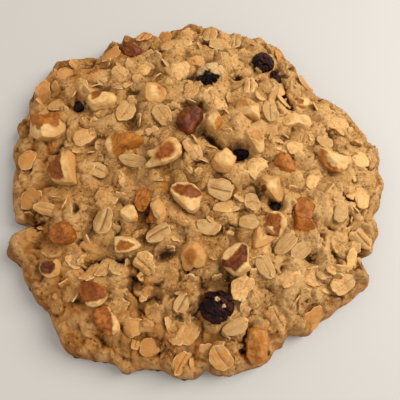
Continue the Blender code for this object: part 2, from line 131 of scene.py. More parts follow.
# Outline of each walnut piece from above, round its place and in tenths of a millimetre, then
# the patch of skin or toasted meat on it, and the patch's tone from 0, pale gold, to 1, dark
# red-brown. ALL stands for skin all over.
TENTHS = 10
ALL = ((-200, -200), (200, -200), (200, 200), (-200, 200))
WALNUT_FACES = (
    (((-38, 36), (-10, 32), (12, 16), (39, 0), (37, -16), (2, -35), (-26, -27),
      (-43, 5)), ALL, 0.8),
    (((-61, 0), (-52, 23), (-36, 35), (-10, 34), (11, 39), (35, 36), (49, 16), (45, -5), (24, -18),
      (-5, -26), (-31, -37), (-49, -21)),
     ((-50, 16), (-36, 34), (-6, 33), (-10, 10), (-26, -8), (-44, -10)), 0.58),
    (((-43, 0), (-33, 26), (-8, 33), (21, 23), (41, 13), (49, -5), (38, -28), (18, -44), (-8, -45),
      (-31, -31)),
     ((2, 23), (21, 24), (44, 14), (50, -8), (36, -30), (10, -20), (0, 0)), 0.2),
    (((-62, -14), (-59, -32), (-30, -52), (5, -52), (38, -43), (62, -19), (65, 0), (46, 19),
      (40, 46), (19, 46), (13, 35), (-8, 40), (-30, 40), (-57, 40), (-54, 19)),
     ((-62, 46), (-30, 44), (19, 52), (46, 52), (50, -2), (32, -12), (18, 2), (4, -2), (-8, -20),
      (-24, -18), (-34, 0), (-50, -6)), 0.46),
    (((-72, 0), (-65, 17), (-39, 33), (-3, 29), (30, 24), (63, 14), (68, 2), (56, -10), (30, -21),
      (-3, -33), (-25, -52), (-44, -57), (-58, -36), (-69, -12)),
     ((-46, 20), (-36, 40), (-3, 35), (30, 30), (70, 18), (74, 0), (58, -16), (30, -28), (-3, -40),
      (-15, -60), (-29, -54), (-36, -20)), 0.38),
    (((19, 55), (40, 50), (59, 26), (60, 2), (45, -19), (7, -38), (-41, -48), (-74, -52),
      (-74, -43), (-50, -31), (-34, -19), (-55, -7), (-55, 7), (-36, 14), (-12, 26), (-3, 38),
      (11, 50)),
     ((18, 50), (40, 40), (47, 10), (26, -17), (-14, -28), (-36, -22), (-30, 8), (-12, 30)), 0.56),
    (((4, 60), (32, 58), (39, 20), (44, -20), (50, -56), (32, -58), (-5, -56), (-30, -46),
      (-46, -26), (-56, -4), (-46, 16), (-22, 36)),
     ((3, 62), (10, 20), (15, -20), (22, -46), (-18, -44), (-44, -28), (-60, -4), (-46, 18),
      (-22, 40)), 0.62),
    (((-35, 34), (-9, 55), (20, 57), (33, 55), (49, 39), (49, 13), (25, -19), (12, -51), (-9, -53),
      (-35, -27), (-46, -3)), ALL, 0.86),
    (((-33, -3), (-20, 18), (1, 36), (14, 34), (22, 13), (30, -8), (22, -32), (-2, -43),
      (-25, -27)),
     ((14, 5), (32, 0), (28, -28), (6, -42), (0, -24)), 0.3),
    (((-44, 0), (-33, 13), (-7, 26), (19, 28), (43, 21), (51, 2), (38, -14), (9, -19), (-28, -22),
      (-41, -19)),
     ((-40, 8), (-10, 10), (20, 6), (30, -14), (-30, -24), (-44, -20)), 0.12),
    (((-40, 12), (-20, 35), (0, 32), (18, 20), (43, 7), (43, -18), (45, -53), (28, -52), (0, -40),
      (-38, -36), (-44, -13)),
     ((-44, 10), (-20, 39), (0, 36), (18, 24), (46, 8), (46, -6), (0, -10), (-44, -8)), 0.08),
    (((-61, -16), (-56, -3), (-40, 10), (-22, 18), (0, 8), (26, 13), (48, 0), (48, -24), (36, -51),
      (15, -48), (-8, -32), (-35, -37), (-56, -34)),
     ((-63, -5), (-40, -4), (-36, -26), (-58, -34)), 0.1),
    (((-40, -1), (-38, 14), (-23, 22), (0, 19), (18, 12), (30, -3), (33, -33), (34, -58),
      (13, -63), (-3, -43), (-18, -26), (-33, -13)),
     ((-42, 0), (-20, 24), (16, 14), (24, -16), (0, -26), (-24, -18)), 0.1),
    (((-42, -1), (-32, 22), (-8, 36), (-2, 49), (10, 53), (26, 44), (34, 27), (45, 19), (38, -8),
      (26, -33), (6, -43), (-17, -38), (-37, -23)),
     ((30, 30), (42, 30), (44, 18), (32, 18)), 0.6),
    (((-31, -13), (-34, 2), (-24, 27), (-6, 39), (6, 34), (24, 12), (41, -11), (41, -33),
      (13, -41), (-16, -36)), ALL, 0.38),
    (((-51, 22), (-44, 40), (-20, 40), (0, 27), (36, 17), (62, 12), (67, -14), (54, -37),
      (28, -45), (-5, -39), (-33, -21), (-51, 2)),
     ((-54, 20), (-46, 44), (-30, 30), (-34, 5), (-10, -20), (20, -30), (50, -30), (56, -42),
      (26, -50), (-6, -44), (-37, -25), (-56, 0)), 0.25),
    (((-37, 27), (-27, 34), (3, 32), (31, 29), (31, 7), (36, -19), (43, -36), (36, -54), (21, -56),
      (1, -39), (-16, -28), (-32, -22), (-34, -8), (-30, 6)),
     ((-36, -5), (-20, -5), (-16, -18), (-24, -30), (-36, -24)), 0.78),
    (((-28, 55), (-11, 65), (8, 62), (25, 50), (35, 38), (27, 26), (20, 1), (28, -28), (35, -55),
      (36, -70), (18, -76), (-16, -74), (-44, -55), (-43, -33), (-38, 1), (-38, 26)), ALL, 0.46),
    (((-39, -12), (-36, 8), (-19, 24), (-1, 32), (17, 30), (37, 6), (39, -19), (19, -43), (8, -56),
      (-5, -52), (-25, -34)),
     ((-39, 6), (-20, 24), (10, 24), (22, 10), (16, -10), (16, -30), (6, -58), (-8, -52),
      (-12, -30), (-36, -20)), 0.6),
    (((-3, 45), (4, 35), (13, 17), (29, 9), (62, 8), (31, -15), (-17, -37), (-28, -33), (-26, -8),
      (-21, 20), (-12, 38)),
     ((0, 26), (6, 24), (9, 6), (4, 6)), 0.2),
    (((-47, -5), (-40, 14), (-23, 30), (3, 45), (27, 47), (43, 32), (42, 10), (40, -16), (49, -36),
      (29, -47), (7, -57), (-14, -55), (-32, -34), (-45, -23)),
     ((-49, -6), (-26, -8), (-6, 8), (6, 26), (24, 44), (42, 36), (39, 5), (36, -16), (18, -34),
      (0, -52), (-20, -38), (-46, -26)), 0.84),
    (((-38, 0), (-32, 27), (-10, 45), (12, 45), (36, 27), (47, 1), (43, -29), (20, -38), (7, -33),
      (-6, -47), (-23, -51), (-34, -33)),
     ((-30, 20), (-12, 42), (24, 36), (22, 0), (10, -24), (-12, -38), (-28, -16)), 0.32),
    (((-53, 22), (-48, 41), (-25, 50), (3, 50), (31, 41), (56, 11), (49, -13), (45, -38),
      (26, -55), (10, -52), (-16, -29), (-37, -8)),
     ((-48, 34), (-30, 45), (10, 39), (42, 24), (60, 6), (40, -6), (16, -10), (-16, -2),
      (-39, 12)), 0.64),
    (((-17, -3), (-8, 24), (10, 35), (26, 29), (35, 10), (35, -12), (26, -35), (10, -49),
      (-8, -45), (-18, -26)), ALL, 0.42),
    (((-19, 15), (-5, 32), (6, 39), (27, 33), (39, -3), (36, -19), (15, -24), (-3, -15),
      (-16, -3)),
     ((30, -20), (40, -20), (40, -10), (34, -10)), 0.1),
    (((-17, 38), (4, 45), (20, 29), (28, 1), (22, -21), (10, -40), (-12, -37), (-40, -35),
      (-44, -24), (-26, -8), (-19, 15)),
     ((-22, 30), (-8, 20), (-4, -5), (6, -24), (-6, -42), (-46, -40), (-46, -20), (-26, -6)), 0.5),
    (((-29, 19), (-6, 19), (21, 13), (46, 1), (55, -10), (48, -21), (16, -33), (-20, -37),
      (-29, -28), (-31, -3)),
     ((-28, -12), (-6, 10), (16, 4), (41, -10), (16, -24), (-26, -26)), 0.48),
    (((-51, -8), (-47, 6), (-26, 31), (-4, 40), (17, 33), (35, 6), (40, -17), (21, -37), (-8, -40),
      (-35, -33)), ALL, 0.5),
    (((-39, 3), (-32, 14), (-2, 21), (29, 23), (37, 14), (37, -16), (27, -31), (3, -36),
      (-23, -23), (-37, -10)),
     ((-34, 2), (-26, 17), (26, 22), (34, 6), (24, -15), (-4, -25), (-28, -15)), 0.86),
    (((-45, 25), (-28, 35), (-2, 37), (21, 29), (40, 14), (50, -7), (41, -20), (30, -39),
      (11, -46), (-11, -43), (-30, -16), (-41, 6)),
     ((-50, 26), (-28, 40), (-2, 42), (21, 34), (43, 18), (54, -8), (30, -16), (-16, -24),
      (-34, -18), (-46, 6)), 0.6),
    (((-30, 53), (-6, 57), (28, 49), (34, 25), (30, 1), (26, -19), (26, -43), (10, -51),
      (-18, -55), (-36, -35), (-36, 5), (-32, 29)), ALL, 0.24),
    (((-12, 17), (13, 19), (34, 17), (44, 2), (42, -19), (26, -28), (3, -27), (-15, -22)),
     ((-12, 9), (10, 6), (6, -18), (-10, -16)), 0.55),
    (((-32, 43), (2, 47), (23, 30), (40, 5), (43, -24), (27, -41), (6, -38), (-19, -20), (-40, 5),
      (-44, 26)),
     ((-50, 26), (-32, 50), (2, 52), (20, 26), (28, 0), (26, -44), (6, -42), (-19, -24),
      (-46, 5)), 0.5),
)
WALNUT_EDGE = 3.2
WALNUT_TAPER = 0.16
WALNUT_STEP = 2.4
# Flat cuts over each piece: count, range of slopes, and share of the height left
CUTS = 4
CUT_SLOPES = (0.2, 0.6)
CUT_HEIGHTS = (0.32, 0.5)
# Noise in space: wavelength, depth and seed of each size
WALNUT_WOBBLE = ((2.4, 0.16, 600), (1.1, 0.1, 650))
WALNUT_ROUGH = ((2.8, 0.11, 400), (1.3, 0.05, 500))
SKIN_VEINS = (3.4, 800)
SKIN_DEPTH = 0.3
SKIN_GROOVE = 0.28
# Walnut pieces whose cut faces are baked darker, and how much
NUT_TOAST = {
    3: 0.4, 4: 0.2, 7: 0.3, 9: 0.2, 10: 0.7, 14: 0.25, 17: 0.5, 20: 0.7, 22: 0.7, 26: 0.3,
    29: 0.4, 32: 0.3,
}

# Walnut pieces whose patch is toasted meat, with a soft edge, and not skin
TOASTED = (3, 6, 10, 11, 13, 22)
TOASTED_SOFTNESS = 3.2

# Raisins as the solids have them: place, length, width, heading and lift
RAISINS = (
    (4.3, -45, 10.6, 10.2, 20, 0.6), (3.2, 39.4, 11, 8.6, 15, 0.2), (24, 45.6, 9.4, 8, 115, 0.5),
    (29.2, 41.2, 7, 5, 125, -0.4), (14.3, 8.6, 7.6, 4.6, 10, 0.7),
    (25.7, -11.3, 5.6, 4.4, 60, 0.6), (-45.3, 27.3, 4.6, 4.4, 0, 0.2),
)
RAISIN_THICKNESS = 0.72
RAISIN_FOLDS = ((3, 0.07, 0.4), (5, 0.05, 1.9))
RAISIN_WRINKLES = ((4.4, 0.17), (2.3, 0.08), (1.1, 0.03))
RAISIN_FOLD_SHARE = 0.4
LARGE_RAISIN = 6
# Pale crumbs that stick to the first raisin: place and size
RAISIN_CRUMBS = ((4, -42.7, 0.8), (6.2, -44.7, 0.7))
CRUMB_WOBBLE = ((1.1, 0.45, 780),)
SMEAR_WOBBLE = ((4.2, 0.2, 740), (1.4, 0.05, 760))
SMEAR_THICKNESS = 0.3
# Dough smeared over each raisin: how far it comes over, and from which side
RAISIN_SMEARS = (
    (-1.5, 90), (0.15, 75), (-0.95, 235), (-0.7, 250), (-1.0, 90), (-1.0, 90), (-0.6, 60),
)

# Parts of the edge with no scattered oats and a calmer surface: place and reach
PLAIN_CRUST = ((-60.5, -24.5, 6.5), (-45, -52, 8), (-29, -60, 4), (64, -1, 3), (53, -38, 3))

# Rolled oats that stand out: place, length, width, heading and lean
OATS = (
    (-33.2, -16.8, 9.3, 6.5, 75, 4), (6.2, -6.2, 9, 7.5, -10, 3), (2, -19.2, 8, 5.5, -5, 3),
    (-24, 4.4, 9, 4.6, -8, 6), (-27.5, 24, 9, 6.5, 65, 8), (-38.5, 40, 9.5, 8, 20, 4),
    (-36.5, 1.4, 7.5, 5, -20, 5), (25.3, 24.5, 9, 5.5, 85, 8), (45.5, 13.2, 7, 4.5, -5, 5),
    (33.4, 9.8, 6, 4.6, 0, 5), (17, -10.6, 5.6, 6.4, 0, 5), (15.6, -17.6, 6.4, 5, 0, 6),
    (8.4, -12.3, 9, 4.6, 10, 5), (-3, 8.2, 9, 5, -55, 8), (-14.5, -21.4, 9, 5, 30, 8),
    (28.2, -24.4, 9.6, 5, 45, 8), (20.6, -32.4, 8, 5.4, -60, 6), (-6.6, -43.4, 8, 4.4, 58, 26),
    (10.6, -51.2, 9, 4.6, 25, 10), (-4.5, -52.5, 9, 6.5, 50, 6), (-16.5, -57, 8, 6, 10, 6),
    (5.5, -60.5, 9, 6.6, -55, 6), (-52.6, -12.4, 9.4, 4.4, -17, 16), (-53.5, 28, 6.4, 4.8, 20, 6),
    (-14, 22, 8, 6, -55, 8), (48, -13.5, 8, 5, 75, 8), (33.4, -26.6, 9, 5, 35, 6),
    (4, 60.2, 8, 5.4, 80, 8), (14.4, 58, 8, 4.6, 80, 10), (-4.5, 60.2, 7, 6.4, 0, 4),
    (7.6, 54.4, 9, 5.4, -15, 6), (-42, 14, 8, 6, 40, 6), (52, 20, 8, 6, -40, 8),
    (40, -1.6, 8, 5.4, 60, 8), (57, -8, 8, 5.6, 80, 8), (-62, 6, 8, 5.6, 80, 8),
    (-51, 42, 8, 6.4, -20, 8), (-30, 40, 8, 5.6, -40, 8), (47, -38, 9, 6, 30, 6),
)
# How far dough coats each of them, and how deep its crease is
OAT_FINISH = (
    (0.0, 1.0), (0.0, 0.9), (0.05, 0.1), (0.15, 0.3), (0.5, 0.4), (0.7, 0.0), (0.25, 0.5),
    (0.3, 0.7), (0.25, 0.0), (0.7, 0.0), (0.1, 0.5), (0.2, 0.2), (0.7, 0.1), (0.6, 0.3),
    (0.2, 0.8), (0.2, 0.2), (0.25, 0.2), (0.1, 0.8), (0.4, 0.2), (0.6, 0.0), (0.8, 0.0),
    (0.6, 0.5), (0.1, 0.3), (0.4, 0.2), (0.6, 0.3), (0.3, 0.0), (0.2, 0.2), (0.4, 0.3), (0.3, 0.5),
    (0.85, 0.0), (0.6, 0.2), (0.7, 0.2), (0.75, 0.2), (0.85, 0.1), (0.85, 0.1), (0.6, 0.0),
    (0.8, 0.0), (0.7, 0.2), (0.7, 0.2),
)
OAT_THICKNESS = 0.6
OAT_LIFT = 0.05
OAT_WOBBLE = ((2, 0.04), (3, 0.06), (5, 0.035), (9, 0.02))
BED_GAP = 0.55
OAT_SQUARE = 0.16
# Ranges of how each oat bows along, curls across, and shifts and bends its crease
OAT_BOW = (-0.03, 0.015)
OAT_CURL = (-0.05, 0.02)
OAT_CREASE_SHIFT = (-0.12, 0.12)
OAT_CREASE_WIDTH = 0.16
OAT_CREASE_DEPTH = 0.3
OAT_SHOULDER_RISE = 0.12
OAT_STEP = 2.6
# Style of each set of oats: seed, how far it sinks, raggedness, and cells along and across
SHOWN_STYLE = (31, 0, 0.9, (28, 20))
FLAT_STYLE = (32, 1.25, 1.7, (28, 20))
EDGE_STYLE = (33, 1.25, 1.6, (16, 11))
# A leaning oat sinks all the way and a flat one only by this share
LEANING = 12
FLAT_SINK_SHARE = 0.25
# Finish of scattered oats: seed, range of coats, and the share that has a crease
FLAT_FINISH = (34, (0.6, 1.2), 0.2)
EDGE_FINISH = (35, (0.35, 1.1), 0.2)
# Scattered oats, flat ones and ones that stand on edge: count, seed, spacing, ranges of length
# and width, range of leans, and how far out they reach
FLAT_OATS = (28, 31, 8.0, ((6.4, 9.0), (4.6, 6.6)), (-9, 9), 0.95)
EDGE_OATS = (165, 37, 3.3, ((4.2, 8.4), (3.0, 5.4)), (20, 62), 0.915)
# How far scattered oats and plates stay clear of the toppings
FLAT_CLEARANCE = 2.6
EDGE_CLEARANCE = 1.4
PLATE_CLEARANCE = -0.5

# Oats under a skin of dough, which show as raised plates in the surface
PLATES_LAID = (420, 47, 3.9, ((6.2, 10.0), (4.6, 7.2)), (0, 0), 0.985)
PLATE_RISE = (0.35, 1.05)
PLATE_EDGE = 0.09
PLATE_MOAT = 0.5
PLATE_UNEVEN = (0.02, 0.09)
PLATE_CREASE = 0.3
CREASED_PLATES = 0.45

# Crumbly texture of the dough: wavelength, depth and seed of each size of lump
CRUMB = ((9.0, 0.55, 60), (5.2, 0.28, 61), (3.0, 0.20, 62), (1.5, 0.15, 63))
PORES = (1.5, 0.75, 66)
# How craggy the dough is in the calm middle, and how much calmer it is on plain crust
CALM = 0.22
PLAIN_CALM = 0.45
# Broad unevenness, each row with wavelength, size and seed: craggy patches, the bends of the
# cracks, and the browning
PATCHES = (26, 1, 71)
BEND_X = ((5, 0.7, 81), (2, 0.25, 83))
BEND_Y = ((5, 0.7, 82), (2, 0.25, 84))
BAKE_UNEVEN = ((15, 0.09, 75), (5, 0.06, 76))

# Cracks and gaps between lumps: place, length, width, heading and depth
CRACKS = (
    (4.4, 11.6, 8.5, 2.0, -52, 4.5), (12.6, 9.6, 7.5, 4.0, 15, 4.0),
    (27.4, -8.6, 4.5, 1.6, 50, 3.5), (30.5, -13.6, 4.5, 1.6, -45, 3.0),
    (32.4, 33.5, 11, 1.8, -76, 5.0), (33.3, 29, 4, 3.0, -76, 4.0), (-30, -30, 8.5, 1.6, 3, 4.0),
    (-12, -28, 5.5, 1.6, 30, 1.2), (-15.5, -42.7, 3.5, 2, 0, 3.0), (-28, -19.5, 6, 1.4, 90, 3.5),
    (-44, -12.5, 4.5, 1.6, 80, 3.0), (-61.5, 2.7, 3.5, 1.8, 60, 3.0),
    (-59, -10.5, 6, 1.5, -25, 3.5), (-55, -13.5, 7, 1.4, -17, 3.5), (-57.7, -17, 7, 2.2, -17, 4.0),
    (-37, -49.5, 3.5, 1.8, 10, 1.6), (24, 14.2, 1.6, 1.2, 0, 2.5), (41.5, -22.8, 4, 1.8, 70, 3.5),
    (14, 39.3, 3.6, 1.8, 0, 3.0), (37.5, -28.7, 4, 2.0, 0, 2.2), (46, -28.5, 4.5, 1.8, 80, 2.0),
    (54, -32.5, 5, 1.8, 20, 2.2), (56, -26.5, 7, 1.6, 35, 2.4), (34.5, -43, 3.5, 1.6, 30, 3.0),
    (61.5, 3.3, 3, 1.6, 60, 2.5), (52, -8.5, 4, 1.5, 70, 3.0), (-7.5, -47, 4, 1.6, 40, 3.0),
    (-18.8, 45.0, 3.6, 1.2, -50, 2.5), (-14.2, 45.8, 3.6, 1.2, 50, 2.5),
    (-1, 26.2, 4, 2.6, 0, 4.5), (-8.4, 23.6, 5, 1.5, -20, 4.0), (33.6, 18.6, 5, 1.5, 70, 3.0),
    (40, 6, 4, 1.4, 70, 3.0), (13.6, -56, 10, 2.2, 86, 4.0), (-3.8, 39, 3.6, 3.4, 0, 2.6),
    (-1.2, -45, 7, 1.6, 60, 3.5), (-40, -32, 6, 1.6, 20, 3.0), (-20, -33, 6, 1.6, -35, 3.0),
    (9, -19.5, 5, 1.4, 20, 2.5), (24.5, -33, 6, 1.6, -50, 3.0), (3, 55.5, 6, 1.6, 20, 3.0),
    (-44, 45, 6, 1.6, 40, 2.5), (30, 41.6, 9, 4.5, -55, 2.6), (-45.3, 27.3, 5, 4.5, 0, 1.6),
    (-53, 9.5, 5, 1.5, 20, 3.0), (47, 18, 5, 1.5, -30, 2.5), (21, 37, 5, 1.5, -10, 3.0),
)
# Darker patches where something lies just under the dough: place, reach and depth of tone
STAINS = ((7.3, -37.2, 3.0, 0.2), (-21.5, -38, 2.8, 0.26), (-16, 38.5, 3, 0.1))
# Broad differences in tone: place, reach and amount, darker below 0 and paler above. The darker
# middle is painted shade and the paler lower right is partly painted light.
TONES = (
    (-6, -6, 25, -0.12), (37, -33, 22, 0.15), (-12, -50, 24, -0.09), (52, -8, 16, 0.03),
    (-50, -30, 18, -0.02), (-44, -52, 11, 0.08), (-6, 60, 16, -0.03), (-60, -4, 18, 0.09),
)
CRACK_EDGE = 1.1
CRACK_DEPTH = 0.6
CRACK_WIDTH = 0.75

# Fine surface kept on a square grid: half width and spacing
FIELD_REACH = 76.0
FIELD_STEP = 0.38

# Cells along each side of the dough's grid, then the rows of its wall: height and inset
DOUGH_CELLS = 298
WALL_STEPS = (
    (3.1, 0.0), (2.6, 0.05), (2.1, 0.1), (1.6, 0.15), (1.1, 0.25), (0.6, 0.4), (0.25, 0.65),
    (0.0, 1.0),
)
WALL_ROUGH = ((3.4, 0.3, 91), (1.7, 0.22, 92))
WALL_INSET = 0.25
GRAIN_COUNT = 2200
GRAIN_SIZES = (0.16, 0.36)
GRAIN_SEED = 91
GRAIN_LIMIT = 0.97
GRAIN_LIFT = 0.05
# Openness that stands for a plain surface, neither ridge nor crack, which gets neither painted
# light nor painted shade
EVEN = 0.53

# Camera: from where the sheet's four corners place it
CAMERA_PLACE = (-4.75, -46.25, 146.83)
CAMERA_TILT = 15.51
CAMERA_SWING = 1.69
CAMERA_LENS = 36
CAMERA_SENSOR = 36

# Floor and light, in metres and watts: the floor's half width and two tones, the room's tint,
# and each lamp's name, place, power and tint
FLOOR_HALF = 1.5
FLOOR_TONES = ((0.50, 0.48, 0.452), (0.495, 0.475, 0.445))
ROOM_TINT = (1.0, 0.985, 0.96, 1)
ROOM_STRENGTH = 0.62
LAMPS = (
    ("key", (0.44, 0.14, 0.50), 5.1, (1.0, 0.97, 0.92)),
    ("fill", (-0.45, -0.1, 0.45), 0.5, (1.0, 0.97, 0.93)),
)
LAMP_SIZE = 0.5


def rim_waves(theta, count, size, seed):
    """Small seeded unevenness round the edge."""
    rng = np.random.default_rng(seed)
    total = np.zeros_like(theta)
    for turns in range(count, count + 6):
        total += np.cos(turns * theta + rng.uniform(0, 2 * math.pi))
    return size * total / 2


def rim_radius(theta):
    """Radius of the ragged outline at an angle in radians."""
    radius = np.full_like(theta, RIM_RADIUS)
    for angle, half_width, rise in RIM_LOBES:
        away = (theta - math.radians(angle) + math.pi) % (2 * math.pi) - math.pi
        radius += rise * np.exp(-(away / math.radians(half_width)) ** 2)
    for count, size, seed in RIM_RAGGED:
        radius += rim_waves(theta, count, size, seed)
    return radius


def layout_middle():
    """How far the layout moves so that the outline's middle is the origin."""
    theta = np.linspace(-math.pi, math.pi, 1441)
    radius = rim_radius(theta)
    x = RIM_CENTRE[0] + radius * np.cos(theta)
    y = RIM_CENTRE[1] + radius * np.sin(theta)
    return np.array([(x.min() + x.max()) / 2, (y.min() + y.max()) / 2])


MIDDLE = layout_middle()


def swell(x, y, wavelength, size, seed):
    """Gentle seeded unevenness of the dough: waves in random directions."""
    rng = np.random.default_rng(seed)
    total = np.zeros_like(x)
    for _ in range(20):
        heading = rng.uniform(0, 2 * math.pi)
        turn = 2 * math.pi / (wavelength * rng.uniform(0.8, 1.3))
        across = x * math.cos(heading) + y * math.sin(heading)
        total += np.cos(across * turn + rng.uniform(0, 2 * math.pi))
    return size * total / math.sqrt(10)


def swells(x, y, rows):
    """Several sizes of swell together."""
    return sum(swell(x, y, *row) for row in rows)


def turned(x, y, place_x, place_y, heading):
    """Distances from a place, along a heading and across it."""
    turn = math.radians(heading)
    dx, dy = x - place_x, y - place_y
    along = dx * math.cos(turn) + dy * math.sin(turn)
    return along, dy * math.cos(turn) - dx * math.sin(turn)


def oval(x, y, place_x, place_y, length, width, heading):
    """Square of the distance from an oval's middle, 1 on its line."""
    along, across = turned(x, y, place_x, place_y, heading)
    return (2 * along / length) ** 2 + (2 * across / width) ** 2


def near_oval(x, y, reach, place_x, place_y, length, width, heading):
    """Which places are near an oval, and how far along and across it each of them is."""
    near = np.abs(x - place_x) + np.abs(y - place_y) < reach * length
    along, across = turned(x[near], y[near], place_x, place_y, heading)
    return near, along * 2 / length, across * 2 / width


def disc(x, y, place_x, place_y, reach, power=2):
    """1 at a place and fading to 0 beyond its reach."""
    return np.exp(-(np.hypot(x - place_x, y - place_y) / reach) ** power)


def mound(x, y, place_x, place_y, length, width, heading, rise):
    """One soft-sided oval mound, or a hollow where the rise is negative."""
    away = oval(x, y, place_x, place_y, length, width, heading)
    return rise * np.exp(-away ** MOUND_EDGE)


def rim_share(x, y):
    """How far out a place is: 0 in the middle and 1 at the outline."""
    out_x, out_y = x - RIM_CENTRE[0], y - RIM_CENTRE[1]
    share = np.hypot(out_x, out_y) / rim_radius(np.arctan2(out_y, out_x))
    return np.clip(share, 0, 1)


def round_over(share, height):
    """Bring a height down to the rim round the shoulder."""
    over = np.clip((share - SHOULDER_START) / (1 - SHOULDER_START), 0, 1)
    return RIM_HEIGHT + (height - RIM_HEIGHT) * np.sqrt(1 - over ** 2)


def broad_height(x, y, share):
    """The dome with its mounds and hollows, before the shoulder is rounded."""
    dome = SHOULDER_HEIGHT + CROWN_RISE * (1 - share ** 2) ** CROWN_POWER
    dome += swells(x, y, SWELL)
    for item in MOUNDS + HOLLOWS:
        dome += mound(x, y, *item)
    return dome


def top_height(x, y):
    """Height of the solid's dough at places of the layout."""
    x = np.asarray(x, float)
    y = np.asarray(y, float)
    share = rim_share(x, y)
    return round_over(share, broad_height(x, y, share))


def slope_frame(height, x, y, heading, lean, step):
    """Turn that lays a piece on a surface with a heading and a lean."""
    slope_x = (height(x + step, y) - height(x - step, y)) / (2 * step)
    slope_y = (height(x, y + step) - height(x, y - step)) / (2 * step)
    up = Vector((-float(slope_x), -float(slope_y), 1)).normalized()
    level = Vector((0, 0, 1)).rotation_difference(up).to_matrix()
    turn = Matrix.Rotation(math.radians(heading), 3, "Z")
    tip = Matrix.Rotation(math.radians(lean), 3, "Y")
    return level @ turn @ tip


def smooth_step(value, low, high):
    """0 below a range, 1 above it, and smooth between."""
    share = np.clip((value - low) / (high - low), 0, 1)
    return share * share * (3 - 2 * share)


def kept_clear():
    """Centre and reach of what scattered oats stay clear of: toppings and plain crust."""
    discs = [(item[1], item[2], item[3] / 2) for item in WALNUTS]
    discs += [(item[0], item[1], item[2] / 2) for item in RAISINS]
    return discs + list(PLAIN_CRUST)


def random_place(rng, limit):
    """An even random place on the cookie, out to a share of its radius."""
    theta = rng.uniform(-math.pi, math.pi)
    share = math.sqrt(rng.uniform(0, 1)) * limit
    radius = share * float(rim_radius(np.array(theta)))
    return RIM_CENTRE[0] + radius * math.cos(theta), RIM_CENTRE[1] + radius * math.sin(theta)


def scatter(laid, clearance, taken):
    """Seeded places for oats, clear of the toppings and of each other."""
    count, seed, spacing, sizes, leans, limit = laid
    rng = np.random.default_rng(seed)
    discs = kept_clear()
    placed = []
    for _ in range(count * 40):
        if len(placed) == count:
            break
        x, y = random_place(rng, limit)
        length = rng.uniform(*sizes[0])
        width = rng.uniform(*sizes[1])
        heading = rng.uniform(-180, 180)
        lean = rng.uniform(*leans)
        if any(math.hypot(x - a, y - b) < reach + clearance for a, b, reach in discs):
            continue
        if any(math.hypot(x - p[0], y - p[1]) < spacing for p in taken + placed):
            continue
        placed.append((x, y, length, width, heading, lean))
    return placed


SHOWN_PLACES = list(OATS)
FLAT_PLACES = scatter(FLAT_OATS, FLAT_CLEARANCE, SHOWN_PLACES)
EDGE_PLACES = scatter(EDGE_OATS, EDGE_CLEARANCE, SHOWN_PLACES + FLAT_PLACES)
PLATES = scatter(PLATES_LAID, PLATE_CLEARANCE, [])


def plates(x, y):
    """Height and cover of the dough-coated oats at places of the layout."""
    rng = np.random.default_rng(PLATES_LAID[1])
    rise = np.zeros_like(x)
    cover = np.zeros_like(x)
    for *place, _ in PLATES:
        size = rng.uniform(*PLATE_RISE)
        low_side = rng.uniform(0, 2 * math.pi)
        uneven = rng.uniform(*PLATE_UNEVEN)
        phase = rng.uniform(0, 2 * math.pi)
        creased = rng.uniform(0, 1) < CREASED_PLATES
        near, along, across = near_oval(x, y, 1, *place)
        angle = np.arctan2(across, along)
        away = np.hypot(along, across) * (1 + uneven * np.cos(3 * angle + phase))
        tilt = along * math.cos(low_side) + across * math.sin(low_side)
        inside = 1 - smooth_step(away, 1 - PLATE_EDGE, 1 + PLATE_EDGE * 0.4)
        moat = np.exp(-((away - 1.12) / 0.1) ** 2) * smooth_step(tilt, 0.2, 1.0)
        crease = PLATE_CREASE * np.exp(-(across / 0.13) ** 2) * (np.abs(along) < 0.75) * creased
        shape = inside * np.clip(0.45 + 0.6 * tilt, 0, 1.2) * (1 - crease)
        rise[near] += size * (shape * (1 - 0.5 * cover[near]) - PLATE_MOAT * moat)
        cover[near] = np.maximum(cover[near], inside * smooth_step(tilt, -0.8, 0.1))
    return rise, cover


def beds(x, y, height):
    """Shallow beds for the oats that lie flat, each with a thin gap round it."""
    for *place, _ in SHOWN_PLACES + FLAT_PLACES:
        near, along, across = near_oval(x, y, 1.1, *place)
        away = np.hypot(along, across)
        inside = 1 - smooth_step(away, 0.85, 1.1)
        level = height[near]
        middle = (level * inside).sum() / max(inside.sum(), 1)
        gap = np.exp(-((away - 1.13) / 0.09) ** 2)
        side = smooth_step(np.sin(np.arctan2(across, along) + place[0]), -0.6, 0.8)
        fitted = level + (middle - level) * 0.5 * inside
        height[near] = fitted - BED_GAP * gap * (0.3 + 0.7 * side)
    return height


def crumb(x, y):
    """Craggy lumps with sharp valleys between them."""
    total = np.zeros_like(x)
    for wavelength, depth, seed in CRUMB:
        total += depth * (np.abs(swell(x, y, wavelength, 1, seed)) - 0.7)
    return total


def craggy_share(x, y, share):
    """How rough the dough is: calm in the middle, craggy outward and to the near right."""
    outward = smooth_step(share, 0.35, 0.9)
    near_right = smooth_step(0.5 * x - 0.8 * y, 5, 45)
    patches = smooth_step(swell(x, y, *PATCHES), 0.2, 1.4)
    rough = CALM + (1 - CALM) * np.clip(0.7 * outward + 0.7 * near_right + 0.6 * patches, 0, 1)
    for place in PLAIN_CRUST:
        rough *= 1 - PLAIN_CALM * disc(x, y, *place)
    return rough


